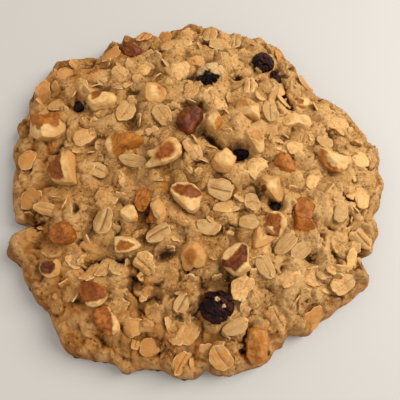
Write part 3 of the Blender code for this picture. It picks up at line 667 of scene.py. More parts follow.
def fine_surface(x, y):
    """Height, oat cover and openness of the finished dough."""
    share = rim_share(x, y)
    craggy = craggy_share(x, y, share)
    rise, cover = plates(x, y)
    height = broad_height(x, y, share) + rise * (0.6 + 0.6 * craggy)
    near_rim = 1 + 0.9 * smooth_step(share, 0.8, 0.95)
    height += crumb(x, y) * craggy * near_rim * (1 - 0.5 * cover)
    wavelength, depth, seed = PORES
    height -= depth * smooth_step(swell(x, y, wavelength, 1, seed), 1.6, 2.6)
    height = beds(x, y, height)
    opened = np.zeros_like(x)
    bent_x = x + swells(x, y, BEND_X)
    bent_y = y + swells(x, y, BEND_Y)
    for place_x, place_y, length, width, heading, depth in CRACKS:
        away = oval(bent_x, bent_y, place_x, place_y, length, width * CRACK_WIDTH, heading)
        gap = np.exp(-away ** CRACK_EDGE)
        height -= CRACK_DEPTH * depth * gap
        opened = np.maximum(opened, gap * min(1, depth / 4))
    return round_over(share, height), cover, opened


def baked(x, y):
    """How brown the crust is: most at the rim, and more to the left and near side. The browner
    left and near side is partly real browning and partly painted shade, the paler right is partly
    painted light, and the browner middle is painted shade.
    """
    out_x, out_y = x - RIM_CENTRE[0], y - RIM_CENTRE[1]
    share = rim_share(x, y)
    # Browner toward the left, away from the key lamp on the right: partly real browning and partly
    # painted shade.
    side = (-0.95 * out_x - 0.30 * out_y) / np.maximum(np.hypot(out_x, out_y), 1)
    uneven = swells(x, y, BAKE_UNEVEN)
    rim = smooth_step(share, 0.66, 1.02) * (0.40 + 0.40 * side)
    # Painted shade: a browner, darker patch in the low middle of the top.
    middle = 0.15 * np.exp(-((x + 6) ** 2 + (y + 6) ** 2) / 26 ** 2)
    # The near, left part is browner: partly real crust browning and partly painted shade.
    near_side_browning_and_shade = 0.5 * smooth_step(-out_y, 30, 64) * smooth_step(12 - out_x, 0, 30)
    crust = 0.64 * smooth_step(share, 0.86, 0.99)
    return np.clip(0.32 + rim + crust + middle + near_side_browning_and_shade + 0.34 * side * share + uneven, 0, 1)


def baked_at(x, y):
    """The same at one place."""
    return float(baked(np.array([float(x)]), np.array([float(y)]))[0])


def field_of_heights():
    """The fine surface on a square grid, to read heights from quickly."""
    line = np.arange(-FIELD_REACH, FIELD_REACH + FIELD_STEP, FIELD_STEP)
    x, y = np.meshgrid(line, line)
    height = fine_surface(x.ravel(), y.ravel())[0]
    return height.reshape(x.shape)


FIELD = field_of_heights()


def fine_height(x, y):
    """Height of the fine surface at one place, read from the grid."""
    column = (x + FIELD_REACH) / FIELD_STEP
    row = (y + FIELD_REACH) / FIELD_STEP
    i, j = int(row), int(column)
    across, up = column - j, row - i
    low = FIELD[i, j] * (1 - across) + FIELD[i, j + 1] * across
    high = FIELD[i + 1, j] * (1 - across) + FIELD[i + 1, j + 1] * across
    return float(low * (1 - up) + high * up)


def new_object(name, data):
    """A new object in the scene."""
    item = bpy.data.objects.new(name, data)
    bpy.context.scene.collection.objects.link(item)
    return item


def new_piece(name, points, faces, look, nodes=()):
    """A piece in metres from points in the layout, riding on the cookie."""
    moved = np.array(points, float)
    moved[:, 0] -= MIDDLE[0]
    moved[:, 1] -= MIDDLE[1]
    mesh = bpy.data.meshes.new(name)
    mesh.from_pydata((moved * MM).tolist(), [], faces)
    mesh.materials.append(look)
    mesh.shade_smooth()
    piece = new_object(name, mesh)
    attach(piece, "root")
    if nodes:
        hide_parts(*nodes)
    return piece


def paint(piece, name, values):
    """Keep up to three values for each point as a colour attribute."""
    layer = piece.data.attributes.new(name, "FLOAT_COLOR", "POINT")
    colours = np.ones((len(piece.data.vertices), 4))
    for channel, column in enumerate(values):
        colours[:, channel] = column
    layer.data.foreach_set("color", colours.ravel())


def template(make):
    """Points and faces of a shape that bmesh makes."""
    mesh = bmesh.new()
    make(mesh)
    mesh.verts.ensure_lookup_table()
    points = np.array([vert.co[:] for vert in mesh.verts])
    faces = [[vert.index for vert in face.verts] for face in mesh.faces]
    mesh.free()
    return points, faces


def stack(shapes):
    """Join several (points, faces) into one list of each."""
    points, faces, start = [], [], 0
    for shape_points, shape_faces in shapes:
        points.append(shape_points)
        faces += [[index + start for index in face] for face in shape_faces]
        start += len(shape_points)
    return np.concatenate(points), faces


def round_to_disc(points):
    """Draw a square grid of side 2 out to a round disc."""
    u, v = points[:, 0], points[:, 1]
    return u * np.sqrt(1 - v * v / 2), v * np.sqrt(1 - u * u / 2)


def blur(field, reach):
    """Mean of a square field over a window of cells."""
    for axis in (0, 1):
        pad = [(reach + 1, reach) if a == axis else (0, 0) for a in (0, 1)]
        total = np.cumsum(np.pad(field, pad, mode="edge"), axis=axis)
        size = field.shape[axis]
        far = np.take(total, range(2 * reach + 1, size + 2 * reach + 1), axis=axis)
        near = np.take(total, range(size), axis=axis)
        field = (far - near) / (2 * reach + 1)
    return field


def make_dough(look):
    """Fine dough: a domed top drawn from a square grid, and its crumbly side."""
    cells = DOUGH_CELLS
    line = np.linspace(-1, 1, cells + 1)
    u, v = np.meshgrid(line, line)
    across, along = round_to_disc(np.c_[u.ravel(), v.ravel()])
    theta = np.arctan2(along, across)
    radius = rim_radius(theta)
    share = np.hypot(across, along)
    for count, size, seed in RIM_CRUMB:
        radius += rim_waves(theta, count, size, seed) * share ** 12
    x = RIM_CENTRE[0] + across * radius
    y = RIM_CENTRE[1] + along * radius
    z, cover, opened = fine_surface(x, y)
    square = z.reshape(cells + 1, cells + 1)
    # Painted shade and light: the second value is lower where the dough lies below its
    # surroundings and in the cracks, which are painted darker, and higher on ridges, which are
    # painted paler.
    hollow = (0.7 * (square - blur(square, 5)) + 0.35 * (square - blur(square, 14))).ravel()
    index = np.arange((cells + 1) ** 2).reshape(cells + 1, cells + 1)
    quads = np.stack([index[:-1, :-1], index[:-1, 1:], index[1:, 1:], index[1:, :-1]], -1)
    faces = quads.reshape(-1, 4).tolist()
    edge = np.concatenate([index[0, :-1], index[:-1, -1], index[-1, :0:-1], index[:0:-1, 0]])
    points = np.c_[x, y, z]
    values = np.c_[baked(x, y), 0.5 + hollow / 4 - 0.24 * opened, cover]
    # Broad tones: the darker middle among them is painted shade and the paler lower right partly
    # painted light.
    for *place, amount in TONES:
        values[:, 1] += amount * disc(x, y, *place)
    for *place, depth in STAINS:
        values[:, 1] -= depth * disc(x, y, *place, 4)
    ring = edge
    for height, inset in WALL_STEPS:
        angle = theta[edge]
        base = rim_radius(angle)
        beside = np.c_[base * np.cos(angle), base * np.sin(angle), np.full(len(edge), height)]
        out = radius[edge] - inset + layers(beside, WALL_ROUGH) - WALL_INSET
        wall = np.c_[
            RIM_CENTRE[0] + out * np.cos(angle),
            RIM_CENTRE[1] + out * np.sin(angle),
            np.full(len(edge), height),
        ]
        start = len(points)
        points = np.concatenate([points, wall])
        side = values[edge].copy()
        side[:, 0] = np.clip(side[:, 0] + 0.05, 0, 1)
        side[:, 1] = EVEN
        values = np.concatenate([values, side])
        below = start + np.arange(len(edge))
        strip = np.stack([ring, below, np.roll(below, -1), np.roll(ring, -1)], -1)
        faces += strip.tolist()
        ring = below
    faces.append(ring[::-1].tolist())
    piece = new_piece("dough", points, faces, look, ["cookie"])
    paint(piece, "bake_and_shade", values.T)


def oat_template(cells):
    """One rolled oat lying flat, as a closed thin plate two units across."""
    def make(mesh):
        bmesh.ops.create_grid(mesh, x_segments=cells[0], y_segments=cells[1], size=1)
        made = bmesh.ops.extrude_face_region(mesh, geom=mesh.faces[:])["geom"]
        lifted = [item for item in made if isinstance(item, bmesh.types.BMVert)]
        bmesh.ops.translate(mesh, vec=(0, 0, 1), verts=lifted)
        bmesh.ops.recalc_face_normals(mesh, faces=mesh.faces)
    points, faces = template(make)
    rim = np.maximum(np.abs(points[:, 0]), np.abs(points[:, 1]))
    across, along = round_to_disc(points)
    across = across * (1 - OAT_SQUARE) + points[:, 0] * OAT_SQUARE
    along = along * (1 - OAT_SQUARE) + points[:, 1] * OAT_SQUARE
    return np.c_[across, along, points[:, 2]], rim, faces


def loose_finish(count, seed, coats, creased):
    """Coat and crease of each scattered oat."""
    rng = np.random.default_rng(seed)
    return [
        (rng.uniform(*coats), rng.uniform(0.4, 1) * (rng.uniform(0, 1) < creased))
        for _ in range(count)
    ]


def make_oats(name, places, finishes, look, style):
    """Creased, slightly curled rolled oats as one joined piece."""
    seed, sink, ragged, cells = style
    rng = np.random.default_rng(seed)
    shape, rim, faces = oat_template(cells)
    top = shape[:, 2]
    angle = np.arctan2(shape[:, 1], shape[:, 0])
    shapes, tones, bakes, lines = [], [], [], []
    for (x, y, length, width, heading, lean), (coat, groove) in zip(places, finishes):
        wobble = np.ones_like(rim)
        for turns, size in OAT_WOBBLE:
            wobble += ragged * size * np.cos(turns * angle + rng.uniform(0, 6)) * rim
        along = shape[:, 0] * wobble * length / 2
        across = shape[:, 1] * wobble * width / 2
        bow = ragged * rng.uniform(*OAT_BOW)
        curl = ragged * rng.uniform(*OAT_CURL)
        offset = rng.uniform(*OAT_CREASE_SHIFT)
        bend = rng.uniform(*OAT_CREASE_SHIFT)
        z = top * OAT_THICKNESS * (1 - 0.4 * rim ** 3)
        z += bow * along ** 2 + curl * across ** 2
        line = shape[:, 1] - offset - bend * np.cos(2.2 * shape[:, 0])
        near_line = np.exp(-(line / OAT_CREASE_WIDTH) ** 2)
        near_line *= smooth_step(1 - np.abs(shape[:, 0]), 0.1, 0.35)
        z -= OAT_CREASE_DEPTH * groove * near_line * top
        z += OAT_SHOULDER_RISE * groove * np.exp(-((np.abs(line) - 0.42) / 0.25) ** 2) * top
        frame = np.array(slope_frame(fine_height, x, y, heading, lean, OAT_STEP))
        sunk = sink * (1 if lean > LEANING else FLAT_SINK_SHARE)
        local = np.c_[along, across, z] @ frame.T
        shapes.append((local + (x, y, fine_height(x, y) + OAT_LIFT - sunk), faces))
        tones.append(np.c_[np.full(len(rim), coat), rim])
        # Each oat takes the dough's browning at its place, painted shade included.
        bakes.append(np.tile((baked_at(x, y) - 0.1, EVEN, 0.6), (len(rim), 1)))
        streak = shape[:, 1] * 0.5 + 0.5 + 7 * rng.uniform(0, 1)
        ends = (1 - smooth_step(np.abs(shape[:, 0]), 0.72, 0.95)) * groove * top
        lines.append(np.c_[line * 0.5 + 0.5, streak, ends])
    points, all_faces = stack(shapes)
    piece = new_piece(name, points, all_faces, look)
    for layer, rows in (("oat", tones), ("bake_and_shade", bakes), ("line", lines)):
        paint(piece, layer, np.concatenate(rows).T)


def ball(level):
    """Points and faces of a ball of radius 1."""
    def make(mesh):
        bmesh.ops.create_icosphere(mesh, subdivisions=level, radius=1)
    return template(make)


def wave_noise(points, wavelength, seed):
    """Smooth seeded noise in space, about -1 to 1."""
    rng = np.random.default_rng(seed)
    total = np.zeros(len(points))
    for _ in range(16):
        aim = rng.normal(size=3)
        aim /= np.linalg.norm(aim)
        turn = 2 * math.pi / (wavelength * rng.uniform(0.75, 1.35))
        total += np.cos(points @ aim * turn + rng.uniform(0, 2 * math.pi))
    return total / math.sqrt(8) / 1.6


def layers(points, rows, number=0):
    """Several sizes of noise in space together."""
    return sum(depth * wave_noise(points, size, seed + number) for size, depth, seed in rows)


def outline_reach(outline, middle, angle):
    """How far a many-sided outline lies from its middle at each angle."""
    share = np.linspace(0, 1, 24, endpoint=False)[:, None]
    corners = outline - middle
    sides = [a + (b - a) * share for a, b in zip(corners, np.roll(corners, -1, 0))]
    around = np.concatenate(sides)
    turn = np.arctan2(around[:, 1], around[:, 0])
    order = np.argsort(turn)
    steps = np.linspace(-math.pi, math.pi, 121)[:-1]
    reach = np.interp(
        steps, turn[order], np.hypot(around[:, 0], around[:, 1])[order], period=2 * math.pi
    )
    reach = (np.roll(reach, 1) + 2 * reach + np.roll(reach, -1)) / 4
    return np.interp(angle, steps, reach, period=2 * math.pi)


def depth_inside(x, y, outline):
    """Distance inside a many-sided outline, negative outside it."""
    nearest = np.full(len(x), 99.0)
    inside = np.zeros(len(x), bool)
    for (ax, ay), (bx, by) in zip(outline, np.roll(outline, -1, 0)):
        long_x, long_y = bx - ax, by - ay
        along = ((x - ax) * long_x + (y - ay) * long_y) / (long_x ** 2 + long_y ** 2)
        along = np.clip(along, 0, 1)
        away = np.hypot(x - ax - along * long_x, y - ay - along * long_y)
        nearest = np.minimum(nearest, away)
        if by != ay:
            crosses = (ay > y) != (by > y)
            inside ^= crosses & (x < ax + (y - ay) * long_x / long_y)
    return np.where(inside, nearest, -nearest)


def make_walnut(number, item, face, look):
    """A chopped walnut piece: a broken block with facets and a patch of skin."""
    form, x, y, _, width = item
    outline, patch = (np.array(shape) / TENTHS for shape in face[:2])
    tone = face[2]
    unit, faces = ball(5)
    rng = np.random.default_rng(200 + number)
    flat = np.hypot(unit[:, 0], unit[:, 1])
    reach = (flat ** WALNUT_EDGE + np.abs(unit[:, 2]) ** WALNUT_EDGE) ** (-1 / WALNUT_EDGE)
    unit = unit * reach[:, None]
    flat = flat * reach
    middle = outline.mean(axis=0)
    size = outline_reach(outline, middle, np.arctan2(unit[:, 1], unit[:, 0]))
    size = size * (1 - WALNUT_TAPER * unit[:, 2])
    height = width * WALNUT_HEIGHTS[form]
    local = np.c_[unit[:, :2] * size[:, None] + middle, unit[:, 2] * height / 2]
    for _ in range(CUTS):
        turn = rng.uniform(0, 2 * math.pi)
        slope = rng.uniform(*CUT_SLOPES)
        facing = local[:, 0] * math.cos(turn) + local[:, 1] * math.sin(turn)
        limit = height * rng.uniform(*CUT_HEIGHTS) - slope * (facing - rng.uniform(-0.5, 2.0))
        local[:, 2] = np.minimum(local[:, 2], np.maximum(limit, -0.2 * height))
    inside = depth_inside(local[:, 0], local[:, 1], patch)
    inside += layers(local, WALNUT_WOBBLE, number)
    soft = TOASTED_SOFTNESS if number in TOASTED else 1
    mask = smooth_step(inside, -0.25 * soft, 0.35 * soft)
    top = smooth_step(unit[:, 2], 0.1, 0.7)
    local[:, 2] -= SKIN_DEPTH * smooth_step(inside, -0.1, 0.9) * top * smooth_step(tone, 0.1, 0.6)
    rough = layers(local, WALNUT_ROUGH, number)
    grooves = np.exp(-(wave_noise(local, SKIN_VEINS[0], SKIN_VEINS[1] + number) / 0.16) ** 2)
    rough -= SKIN_GROOVE * grooves * mask * top
    local += unit * rough[:, None]
    frame = np.array(slope_frame(top_height, x, y, 0, 0, WALNUT_STEP))
    place = (x, y, float(top_height(x, y)) + WALNUT_LIFT * width)
    name = f"walnut_piece_{number:02d}"
    points = local @ frame.T + place
    piece = new_piece(name, points, faces, look, [f"walnut_{number:02d}"])
    if number in TOASTED:
        tone = tone * smooth_step(inside, -0.6, 1.5)
    paint(piece, "nut", (mask, tone + 0.16 * grooves, flat + NUT_TOAST.get(number, 0)))


def make_raisin(number, item, smear, look):
    """A wrinkled raisin: the solid's folds with finer ones over them."""
    x, y, length, width, heading, lift = item
    unit, faces = ball(6 if length > LARGE_RAISIN else 5)
    size = np.array([length, width, width * RAISIN_THICKNESS]) / 2
    angle = np.arctan2(unit[:, 1], unit[:, 0])
    scale = np.ones(len(unit))
    for count, depth, phase in RAISIN_FOLDS:
        scale += RAISIN_FOLD_SHARE * depth * np.cos(count * angle + phase + 2 * unit[:, 2])
    crease = np.zeros(len(unit))
    for wavelength, depth in RAISIN_WRINKLES:
        spacing = wavelength * length / RAISINS[0][2]
        noise = wave_noise(unit * size * (1, 1, 0.7), spacing, 700 + number)
        crease += depth * np.exp(-(noise / 0.22) ** 2)
    scale += 0.05 - crease
    local = unit * scale[:, None] * size
    patch = layers(unit * size, SMEAR_WOBBLE, number)
    ragged = layers(unit * size, CRUMB_WOBBLE, number)
    frame = np.array(slope_frame(top_height, x, y, heading, 0, SLOPE_STEP))
    middle = (x, y, float(top_height(x, y)) + lift)
    level = local @ frame.T + middle
    over, from_side = smear
    turn = math.radians(from_side)
    facing = (level[:, 0] - x) * math.cos(turn) + (level[:, 1] - y) * math.sin(turn)
    smeared = smooth_step(2 * facing / length + over + patch, -0.06, 0.1)
    for crumb_x, crumb_y, reach in RAISIN_CRUMBS:
        away = np.hypot(level[:, 0] - crumb_x, level[:, 1] - crumb_y) / reach
        stuck = smooth_step(1.1 - away + ragged, 0.25, 0.45) * (unit[:, 2] > 0)
        smeared = np.maximum(smeared, stuck)
    local += unit * (smeared * SMEAR_THICKNESS)[:, None]
    name = f"raisin_piece_{number}"
    points = local @ frame.T + middle
    piece = new_piece(name, points, faces, look, [f"raisin_{number}"])
    # The second value is low in the wrinkle creases, which the raisin's material keeps darkest as
    # painted shade.
    paint(piece, "smear", (smeared, 1 - 3 * crease))


def make_grains(look):
    """Fine grains of dough and bran that stick to the top."""
    rng = np.random.default_rng(GRAIN_SEED)
    unit, faces = ball(1)
    shapes, bakes = [], []
    for _ in range(GRAIN_COUNT):
        x, y = random_place(rng, GRAIN_LIMIT)
        size = rng.uniform(*GRAIN_SIZES) * rng.uniform(0.7, 1.3, 3)
        lumpy = unit * (1 + 0.25 * rng.normal(size=(len(unit), 1)))
        shapes.append((lumpy * size + (x, y, fine_height(x, y) + GRAIN_LIFT), faces))
        openness = 0.5 + rng.uniform(-0.12, 0.2)
        # Each grain takes the dough's browning at its place, painted shade included.
        bakes.append(np.tile((baked_at(x, y), openness, 0), (len(unit), 1)))
    points, all_faces = stack(shapes)
    piece = new_piece("grains", points, all_faces, look)
    paint(piece, "bake_and_shade", np.concatenate(bakes).T)


class Look:
    """A node material in the making."""

    def __init__(self, name, roughness, shine=0.5):
        self.material = bpy.data.materials.new(name)
        self.material.use_nodes = True
        self.tree = self.material.node_tree
        self.shader = self.tree.nodes["Principled BSDF"]
        self.shader.inputs["Roughness"].default_value = roughness
        self.shader.inputs["Specular IOR Level"].default_value = shine
        self.place = self.tree.nodes.new("ShaderNodeTexCoord").outputs["Object"]

    def put(self, value, socket):
        """Link an output to a socket, or set the socket to a value."""
        if hasattr(value, "is_output"):
            self.tree.links.new(value, socket)
        else:
            socket.default_value = value

    def node(self, kind, inputs, operation=None):
        """A new node with some of its inputs linked or set."""
        node = self.tree.nodes.new("ShaderNode" + kind)
        if operation:
            node.operation = operation
        for name, value in inputs.items():
            self.put(value, node.inputs[name])
        return node

    def split(self, colour):
        """The three channels of a colour."""
        return list(self.node("SeparateColor", {0: colour}).outputs)[:3]

    def attribute(self, name):
        """The three channels that paint() kept."""
        source = self.node("Attribute", {})
        source.attribute_name = name
        return self.split(source.outputs["Color"])

    def noise(self, size, detail=3, roughness=0.55):
        """Noise whose lumps are about size millimetres across."""
        inputs = {"Scale": 1 / (size * MM), "Detail": detail, "Roughness": roughness}
        return self.node("TexNoise", {"Vector": self.place, **inputs}).outputs["Fac"]

    def flakes(self, size, warp):
        """Two random values for each of many patches about size millimetres across."""
        bend = self.node("TexNoise", {"Vector": self.place, "Scale": 1 / (0.6 * size * MM)})
        inputs = {0: bend.outputs["Color"], 1: (warp * MM,) * 3, 2: self.place}
        shift = self.node("VectorMath", inputs, "MULTIPLY_ADD")
        node = self.node("TexVoronoi", {"Vector": shift.outputs[0], "Scale": 1 / (size * MM)})
        return self.split(node.outputs["Color"])[:2]

    def spots(self, size):
        """Distance from scattered points about size millimetres apart."""
        inputs = {"Vector": self.place, "Scale": 1 / (size * MM)}
        return self.node("TexVoronoi", inputs).outputs["Distance"]

    def ribs(self, value, count):
        """Fine uneven lines along a value that runs from 0 to 1 across a piece."""
        node = self.node("TexNoise", {"Scale": count, "Detail": 3})
        node.noise_dimensions = "1D"
        self.put(value, node.inputs["W"])
        return node.outputs["Fac"]

    def spread(self, value, low, high, start=0, end=1):
        """Map a range smoothly to another one."""
        ends = {"From Min": low, "From Max": high, "To Min": start, "To Max": end}
        node = self.node("MapRange", {"Value": value, **ends})
        node.interpolation_type = "SMOOTHSTEP"
        return node.outputs["Result"]

    def sum(self, kind, first, second):
        """One step of arithmetic, held from 0 to 1 except in a difference."""
        node = self.node("Math", {0: first, 1: second}, kind)
        node.use_clamp = kind != "SUBTRACT"
        return node.outputs[0]

    def mix(self, share, first, second):
        """Blend of two colours."""
        node = self.tree.nodes.new("ShaderNodeMix")
        node.data_type = "RGBA"
        self.put(share, node.inputs["Factor"])
        for value, name in ((first, "A"), (second, "B")):
            socket = next(s for s in node.inputs if s.name == name and s.type == "RGBA")
            self.put((*value, 1) if isinstance(value, tuple) else value, socket)
        return next(s for s in node.outputs if s.type == "RGBA")

    def over(self, body, colour, value, low, high, most=1):
        """Lay a colour over another one where a value runs from low to high."""
        return self.mix(self.spread(value, low, high, 0, most), body, colour)

    def bump(self, height, depth):
        """Add fine relief, depth in millimetres, on top of what is there."""
        node = self.node("Bump", {"Strength": 1, "Distance": depth * MM, "Height": height})
        normal = self.shader.inputs["Normal"]
        if normal.is_linked:
            self.put(normal.links[0].from_socket, node.inputs["Normal"])
        self.put(node.outputs["Normal"], normal)

    def colour(self, value):
        self.put(value, self.shader.inputs["Base Color"])

    def rough(self, value):
        self.put(value, self.shader.inputs["Roughness"])


PALE_DOUGH = (0.79, 0.445, 0.160)
MID_DOUGH = (0.345, 0.148, 0.030)
GOLD_CRUST = (0.47, 0.165, 0.022)
BROWN_CRUST = (0.22, 0.064, 0.008)
# Darker dough for specks, also used as painted shade in hollows, then painted shade for the cracks
DARK_DOUGH_AND_SHADE = (0.120, 0.040, 0.006)
CRACK_SHADE = (0.032, 0.012, 0.004)
BRAN = (0.13, 0.05, 0.012)
# Pale dough tone, also used as painted light on ridges and on the lit lower right
PALE_TONE_AND_LIGHT = (0.80, 0.50, 0.21)
# Flakes that show through the dough: size and depth of each layer, then size and warp of tones
DOUGH_FLAKES = ((5.4, 0.6), (3.0, 0.35))
FLAKE_TONES = (5.4, 2.7)


def dough_colour(look):
    """Baked dough: tan in the middle and golden to brown crust. It is darker in hollows and dark
    in the cracks, which is painted shade, and paler on ridges, which is painted light.
    """
    bake_and_shade, tone_light_and_shade, cover = look.attribute("bake_and_shade")
    toast = look.sum("ADD", bake_and_shade, look.spread(look.noise(4, 4), 0.3, 0.7, -0.16, 0.16))
    tone = look.flakes(*FLAKE_TONES)[1]
    body = look.mix(look.spread(toast, 0.46, 0.0), MID_DOUGH, PALE_DOUGH)
    for colour, value, low, high, most in (
        (PALE_DOUGH, look.noise(0.9, 4, 0.75), 0.46, 0.58, 0.62),
        (DARK_DOUGH_AND_SHADE, look.noise(0.8, 4, 0.75), 0.52, 0.64, 0.62),
        (GOLD_CRUST, toast, 0.42, 0.85, 0.72),
        (BROWN_CRUST, toast, 0.62, 1.2, 0.6),
        (PALE_DOUGH, cover, 0.3, 1.0, 0.22),
        # Painted light and shade: paler on ridges, darker in hollows, nearly black in the cracks
        (PALE_TONE_AND_LIGHT, tone_light_and_shade, 0.52, 0.80, 0.38),
        (DARK_DOUGH_AND_SHADE, tone_light_and_shade, 0.47, 0.28, 0.8),
        (CRACK_SHADE, tone_light_and_shade, 0.24, 0.06, 0.92),
        (PALE_DOUGH, tone, 0.55, 1.0, 0.3),
        (MID_DOUGH, tone, 0.45, 0.0, 0.3),
    ):
        body = look.over(body, colour, value, low, high, most)
    specks = look.spread(look.spots(1.7), 0.08, 0.16, 0.8, 0)
    where = look.spread(look.noise(5, 2), 0.5, 0.6)
    return look.mix(look.sum("MULTIPLY", specks, where), body, BRAN)


def dough_look():
    """Crumbly baked dough with fine relief."""
    look = Look("baked_dough", 0.62, 0.12)
    look.colour(dough_colour(look))
    look.rough(look.spread(look.noise(2.5, 3), 0.3, 0.7, 0.5, 0.72))
    look.bump(look.noise(2.4, 5, 0.7), 0.7)
    look.bump(look.noise(0.8, 4, 0.75), 0.9)
    for size, depth in DOUGH_FLAKES:
        look.bump(look.flakes(size, 0.5 * size)[0], depth)
    return look.material


PALE_OAT = (0.48, 0.285, 0.110)
GOLD_OAT = (0.38, 0.188, 0.052)
# Rim colour, partly a painted highlight, then the colour of fine streaks that also serves as
# painted shade in the crease
OAT_RIM_PALE_AND_HIGHLIGHT = (0.74, 0.48, 0.21)
OAT_STREAK_AND_CREASE_SHADE = (0.20, 0.09, 0.022)


def oat_look():
    """Rolled oat: a pale ribbed flake, creased, toasted and partly coated with dough. Its paler
    rim is partly a painted highlight, and the dark line along its crease is painted shade.
    """
    look = Look("rolled_oat", 0.5, 0.2)
    coat, rim, _ = look.attribute("oat")
    line, streak, groove = look.attribute("line")
    mottle = look.noise(2.2, 4)
    body = look.mix(look.spread(mottle, 0.38, 0.66), PALE_OAT, GOLD_OAT)
    body = look.over(body, GOLD_CRUST, look.attribute("bake_and_shade")[0], 0.5, 1.0, 0.55)
    ribs = look.ribs(streak, 9)
    body = look.over(body, OAT_STREAK_AND_CREASE_SHADE, ribs, 0.5, 0.8, 0.35)
    patches = look.sum("ADD", coat, look.spread(mottle, 0.3, 0.7, -0.35, 0.35))
    body = look.over(body, dough_colour(look), patches, 0.25, 0.85, 0.85)
    # A paler rim: partly the oat's own colour and partly a painted highlight.
    broken = look.spread(look.noise(2.4, 2), 0.35, 0.6, 0.15, 0.8)
    thin = look.sum("MULTIPLY", look.spread(rim, 0.86, 0.99), broken)
    body = look.mix(thin, body, OAT_RIM_PALE_AND_HIGHLIGHT)
    # Painted shade: a dark line along the crease.
    away = look.sum("ABSOLUTE", look.sum("SUBTRACT", line, 0.5), 0)
    dark = look.sum("MULTIPLY", look.spread(away, 0.012, 0.05, 1, 0), groove)
    look.colour(look.mix(look.sum("MULTIPLY", dark, 0.8), body, OAT_STREAK_AND_CREASE_SHADE))
    look.bump(look.noise(0.9, 4, 0.6), 0.25)
    look.bump(ribs, 0.12)
    look.bump(look.sum("SUBTRACT", 1, dark), 0.3)
    look.rough(look.spread(look.noise(3, 3), 0.3, 0.7, 0.42, 0.65))
    return look.material


NUT_CREAM = (0.70, 0.44, 0.175)
NUT_SHADE = (0.49, 0.24, 0.068)
SKIN_GOLD = (0.405, 0.142, 0.020)
SKIN_BROWN = (0.215, 0.055, 0.007)
SKIN_DARK = (0.082, 0.016, 0.005)


def walnut_look():
    """Walnut: cream meat, baked darker at its sides, and skin from gold to dark red-brown."""
    look = Look("walnut_piece", 0.42, 0.15)
    mask, tone, flat = look.attribute("nut")
    meat = look.over(NUT_CREAM, NUT_SHADE, look.noise(2.6, 3), 0.42, 0.66, 0.64)
    meat = look.over(meat, NUT_SHADE, flat, 0.82, 1.3, 0.9)
    deep = look.sum("ADD", tone, look.spread(look.noise(2.2, 4), 0.3, 0.7, -0.12, 0.12))
    skin = look.over(NUT_SHADE, SKIN_GOLD, deep, 0.05, 0.32)
    skin = look.over(skin, SKIN_BROWN, deep, 0.3, 0.66)
    skin = look.over(skin, SKIN_DARK, deep, 0.66, 1.0)
    look.colour(look.mix(mask, meat, skin))
    look.bump(look.noise(0.9, 4, 0.6), 0.22)
    look.rough(look.spread(look.noise(1.5, 3), 0.3, 0.7, 0.34, 0.52))
    return look.material


RAISIN_DARK = (0.006, 0.002, 0.002)
RAISIN_RED_AND_HIGHLIGHT = (0.055, 0.009, 0.005)
STUCK_DOUGH = (0.60, 0.385, 0.17)


def raisin_look():
    """Raisin: nearly black, reddish on its ridges, with dough stuck to it. The reddish ridges are
    partly the raisin's own colour and partly a painted highlight, and the darker wrinkle creases
    are painted shade.
    """
    look = Look("raisin", 0.3, 0.11)
    smear, ridge, _ = look.attribute("smear")
    patches = look.spread(look.noise(3.5, 2), 0.4, 0.7)
    # Reddish on the ridges only, darkest in the wrinkle creases: partly a painted highlight and
    # painted shade.
    reddish = look.sum("MULTIPLY", look.spread(ridge, 0.6, 1.0), patches)
    body = look.mix(reddish, RAISIN_DARK, RAISIN_RED_AND_HIGHLIGHT)
    look.colour(look.mix(smear, body, STUCK_DOUGH))
    look.rough(look.spread(smear, 0.1, 0.9, 0.22, 0.75))
    look.bump(look.noise(0.9, 4, 0.6), 0.5)
    return look.material


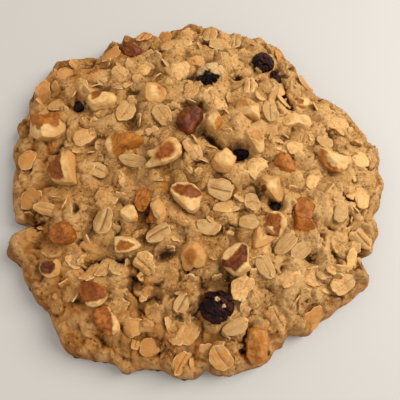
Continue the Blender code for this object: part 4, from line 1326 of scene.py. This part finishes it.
def make_floor():
    """A plain pale floor."""
    mesh = bmesh.new()
    bmesh.ops.create_grid(mesh, x_segments=1, y_segments=1, size=FLOOR_HALF)
    data = bpy.data.meshes.new("floor")
    mesh.to_mesh(data)
    mesh.free()
    floor = new_object("floor", data)
    look = Look("pale_floor", 0.6)
    look.colour(look.over(*FLOOR_TONES, look.noise(60, 2), 0.3, 0.7, 0.05))
    data.materials.append(look.material)


def light():
    """Soft room light and two soft lamps that face the origin."""
    world = bpy.data.worlds.new("soft_room")
    world.use_nodes = True
    bpy.context.scene.world = world
    backdrop = world.node_tree.nodes["Background"]
    backdrop.inputs["Color"].default_value = ROOM_TINT
    backdrop.inputs["Strength"].default_value = ROOM_STRENGTH
    for name, place, power, tint in LAMPS:
        lamp = bpy.data.lights.new(name, "AREA")
        lamp.shape = "DISK"
        lamp.size = LAMP_SIZE
        lamp.energy = power
        lamp.color = tint
        item = new_object(name, lamp)
        item.location = place
        item.rotation_euler = Vector(place).to_track_quat("Z", "Y").to_euler()
    bpy.context.scene.view_settings.view_transform = "Standard"


def add_camera():
    """The photo's camera."""
    data = bpy.data.cameras.new("camera")
    data.lens = CAMERA_LENS
    data.sensor_width = CAMERA_SENSOR
    data.clip_start = 0.01
    camera = new_object("camera", data)
    x, y, z = CAMERA_PLACE
    place = Vector((x - MIDDLE[0], y - MIDDLE[1], z)) * MM
    tilt = Matrix.Rotation(math.radians(CAMERA_TILT), 4, "X")
    swing = Matrix.Rotation(math.radians(-CAMERA_SWING), 4, "Y")
    camera.matrix_world = Matrix.Translation(place) @ tilt @ swing
    bpy.context.scene.camera = camera


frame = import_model()
dough = dough_look()
oat = oat_look()
nut = walnut_look()
raisin = raisin_look()
make_dough(dough)
make_oats("shown_oats", SHOWN_PLACES, OAT_FINISH, oat, SHOWN_STYLE)
flat_finish = loose_finish(len(FLAT_PLACES), *FLAT_FINISH)
make_oats("flat_oats", FLAT_PLACES, flat_finish, oat, FLAT_STYLE)
edge_finish = loose_finish(len(EDGE_PLACES), *EDGE_FINISH)
make_oats("edge_oats", EDGE_PLACES, edge_finish, oat, EDGE_STYLE)
for number, (item, face) in enumerate(zip(WALNUTS, WALNUT_FACES), 1):
    make_walnut(number, item, face, nut)
for number, (item, smear) in enumerate(zip(RAISINS, RAISIN_SMEARS), 1):
    make_raisin(number, item, smear, raisin)
make_grains(dough)
make_floor()
light()
add_camera()
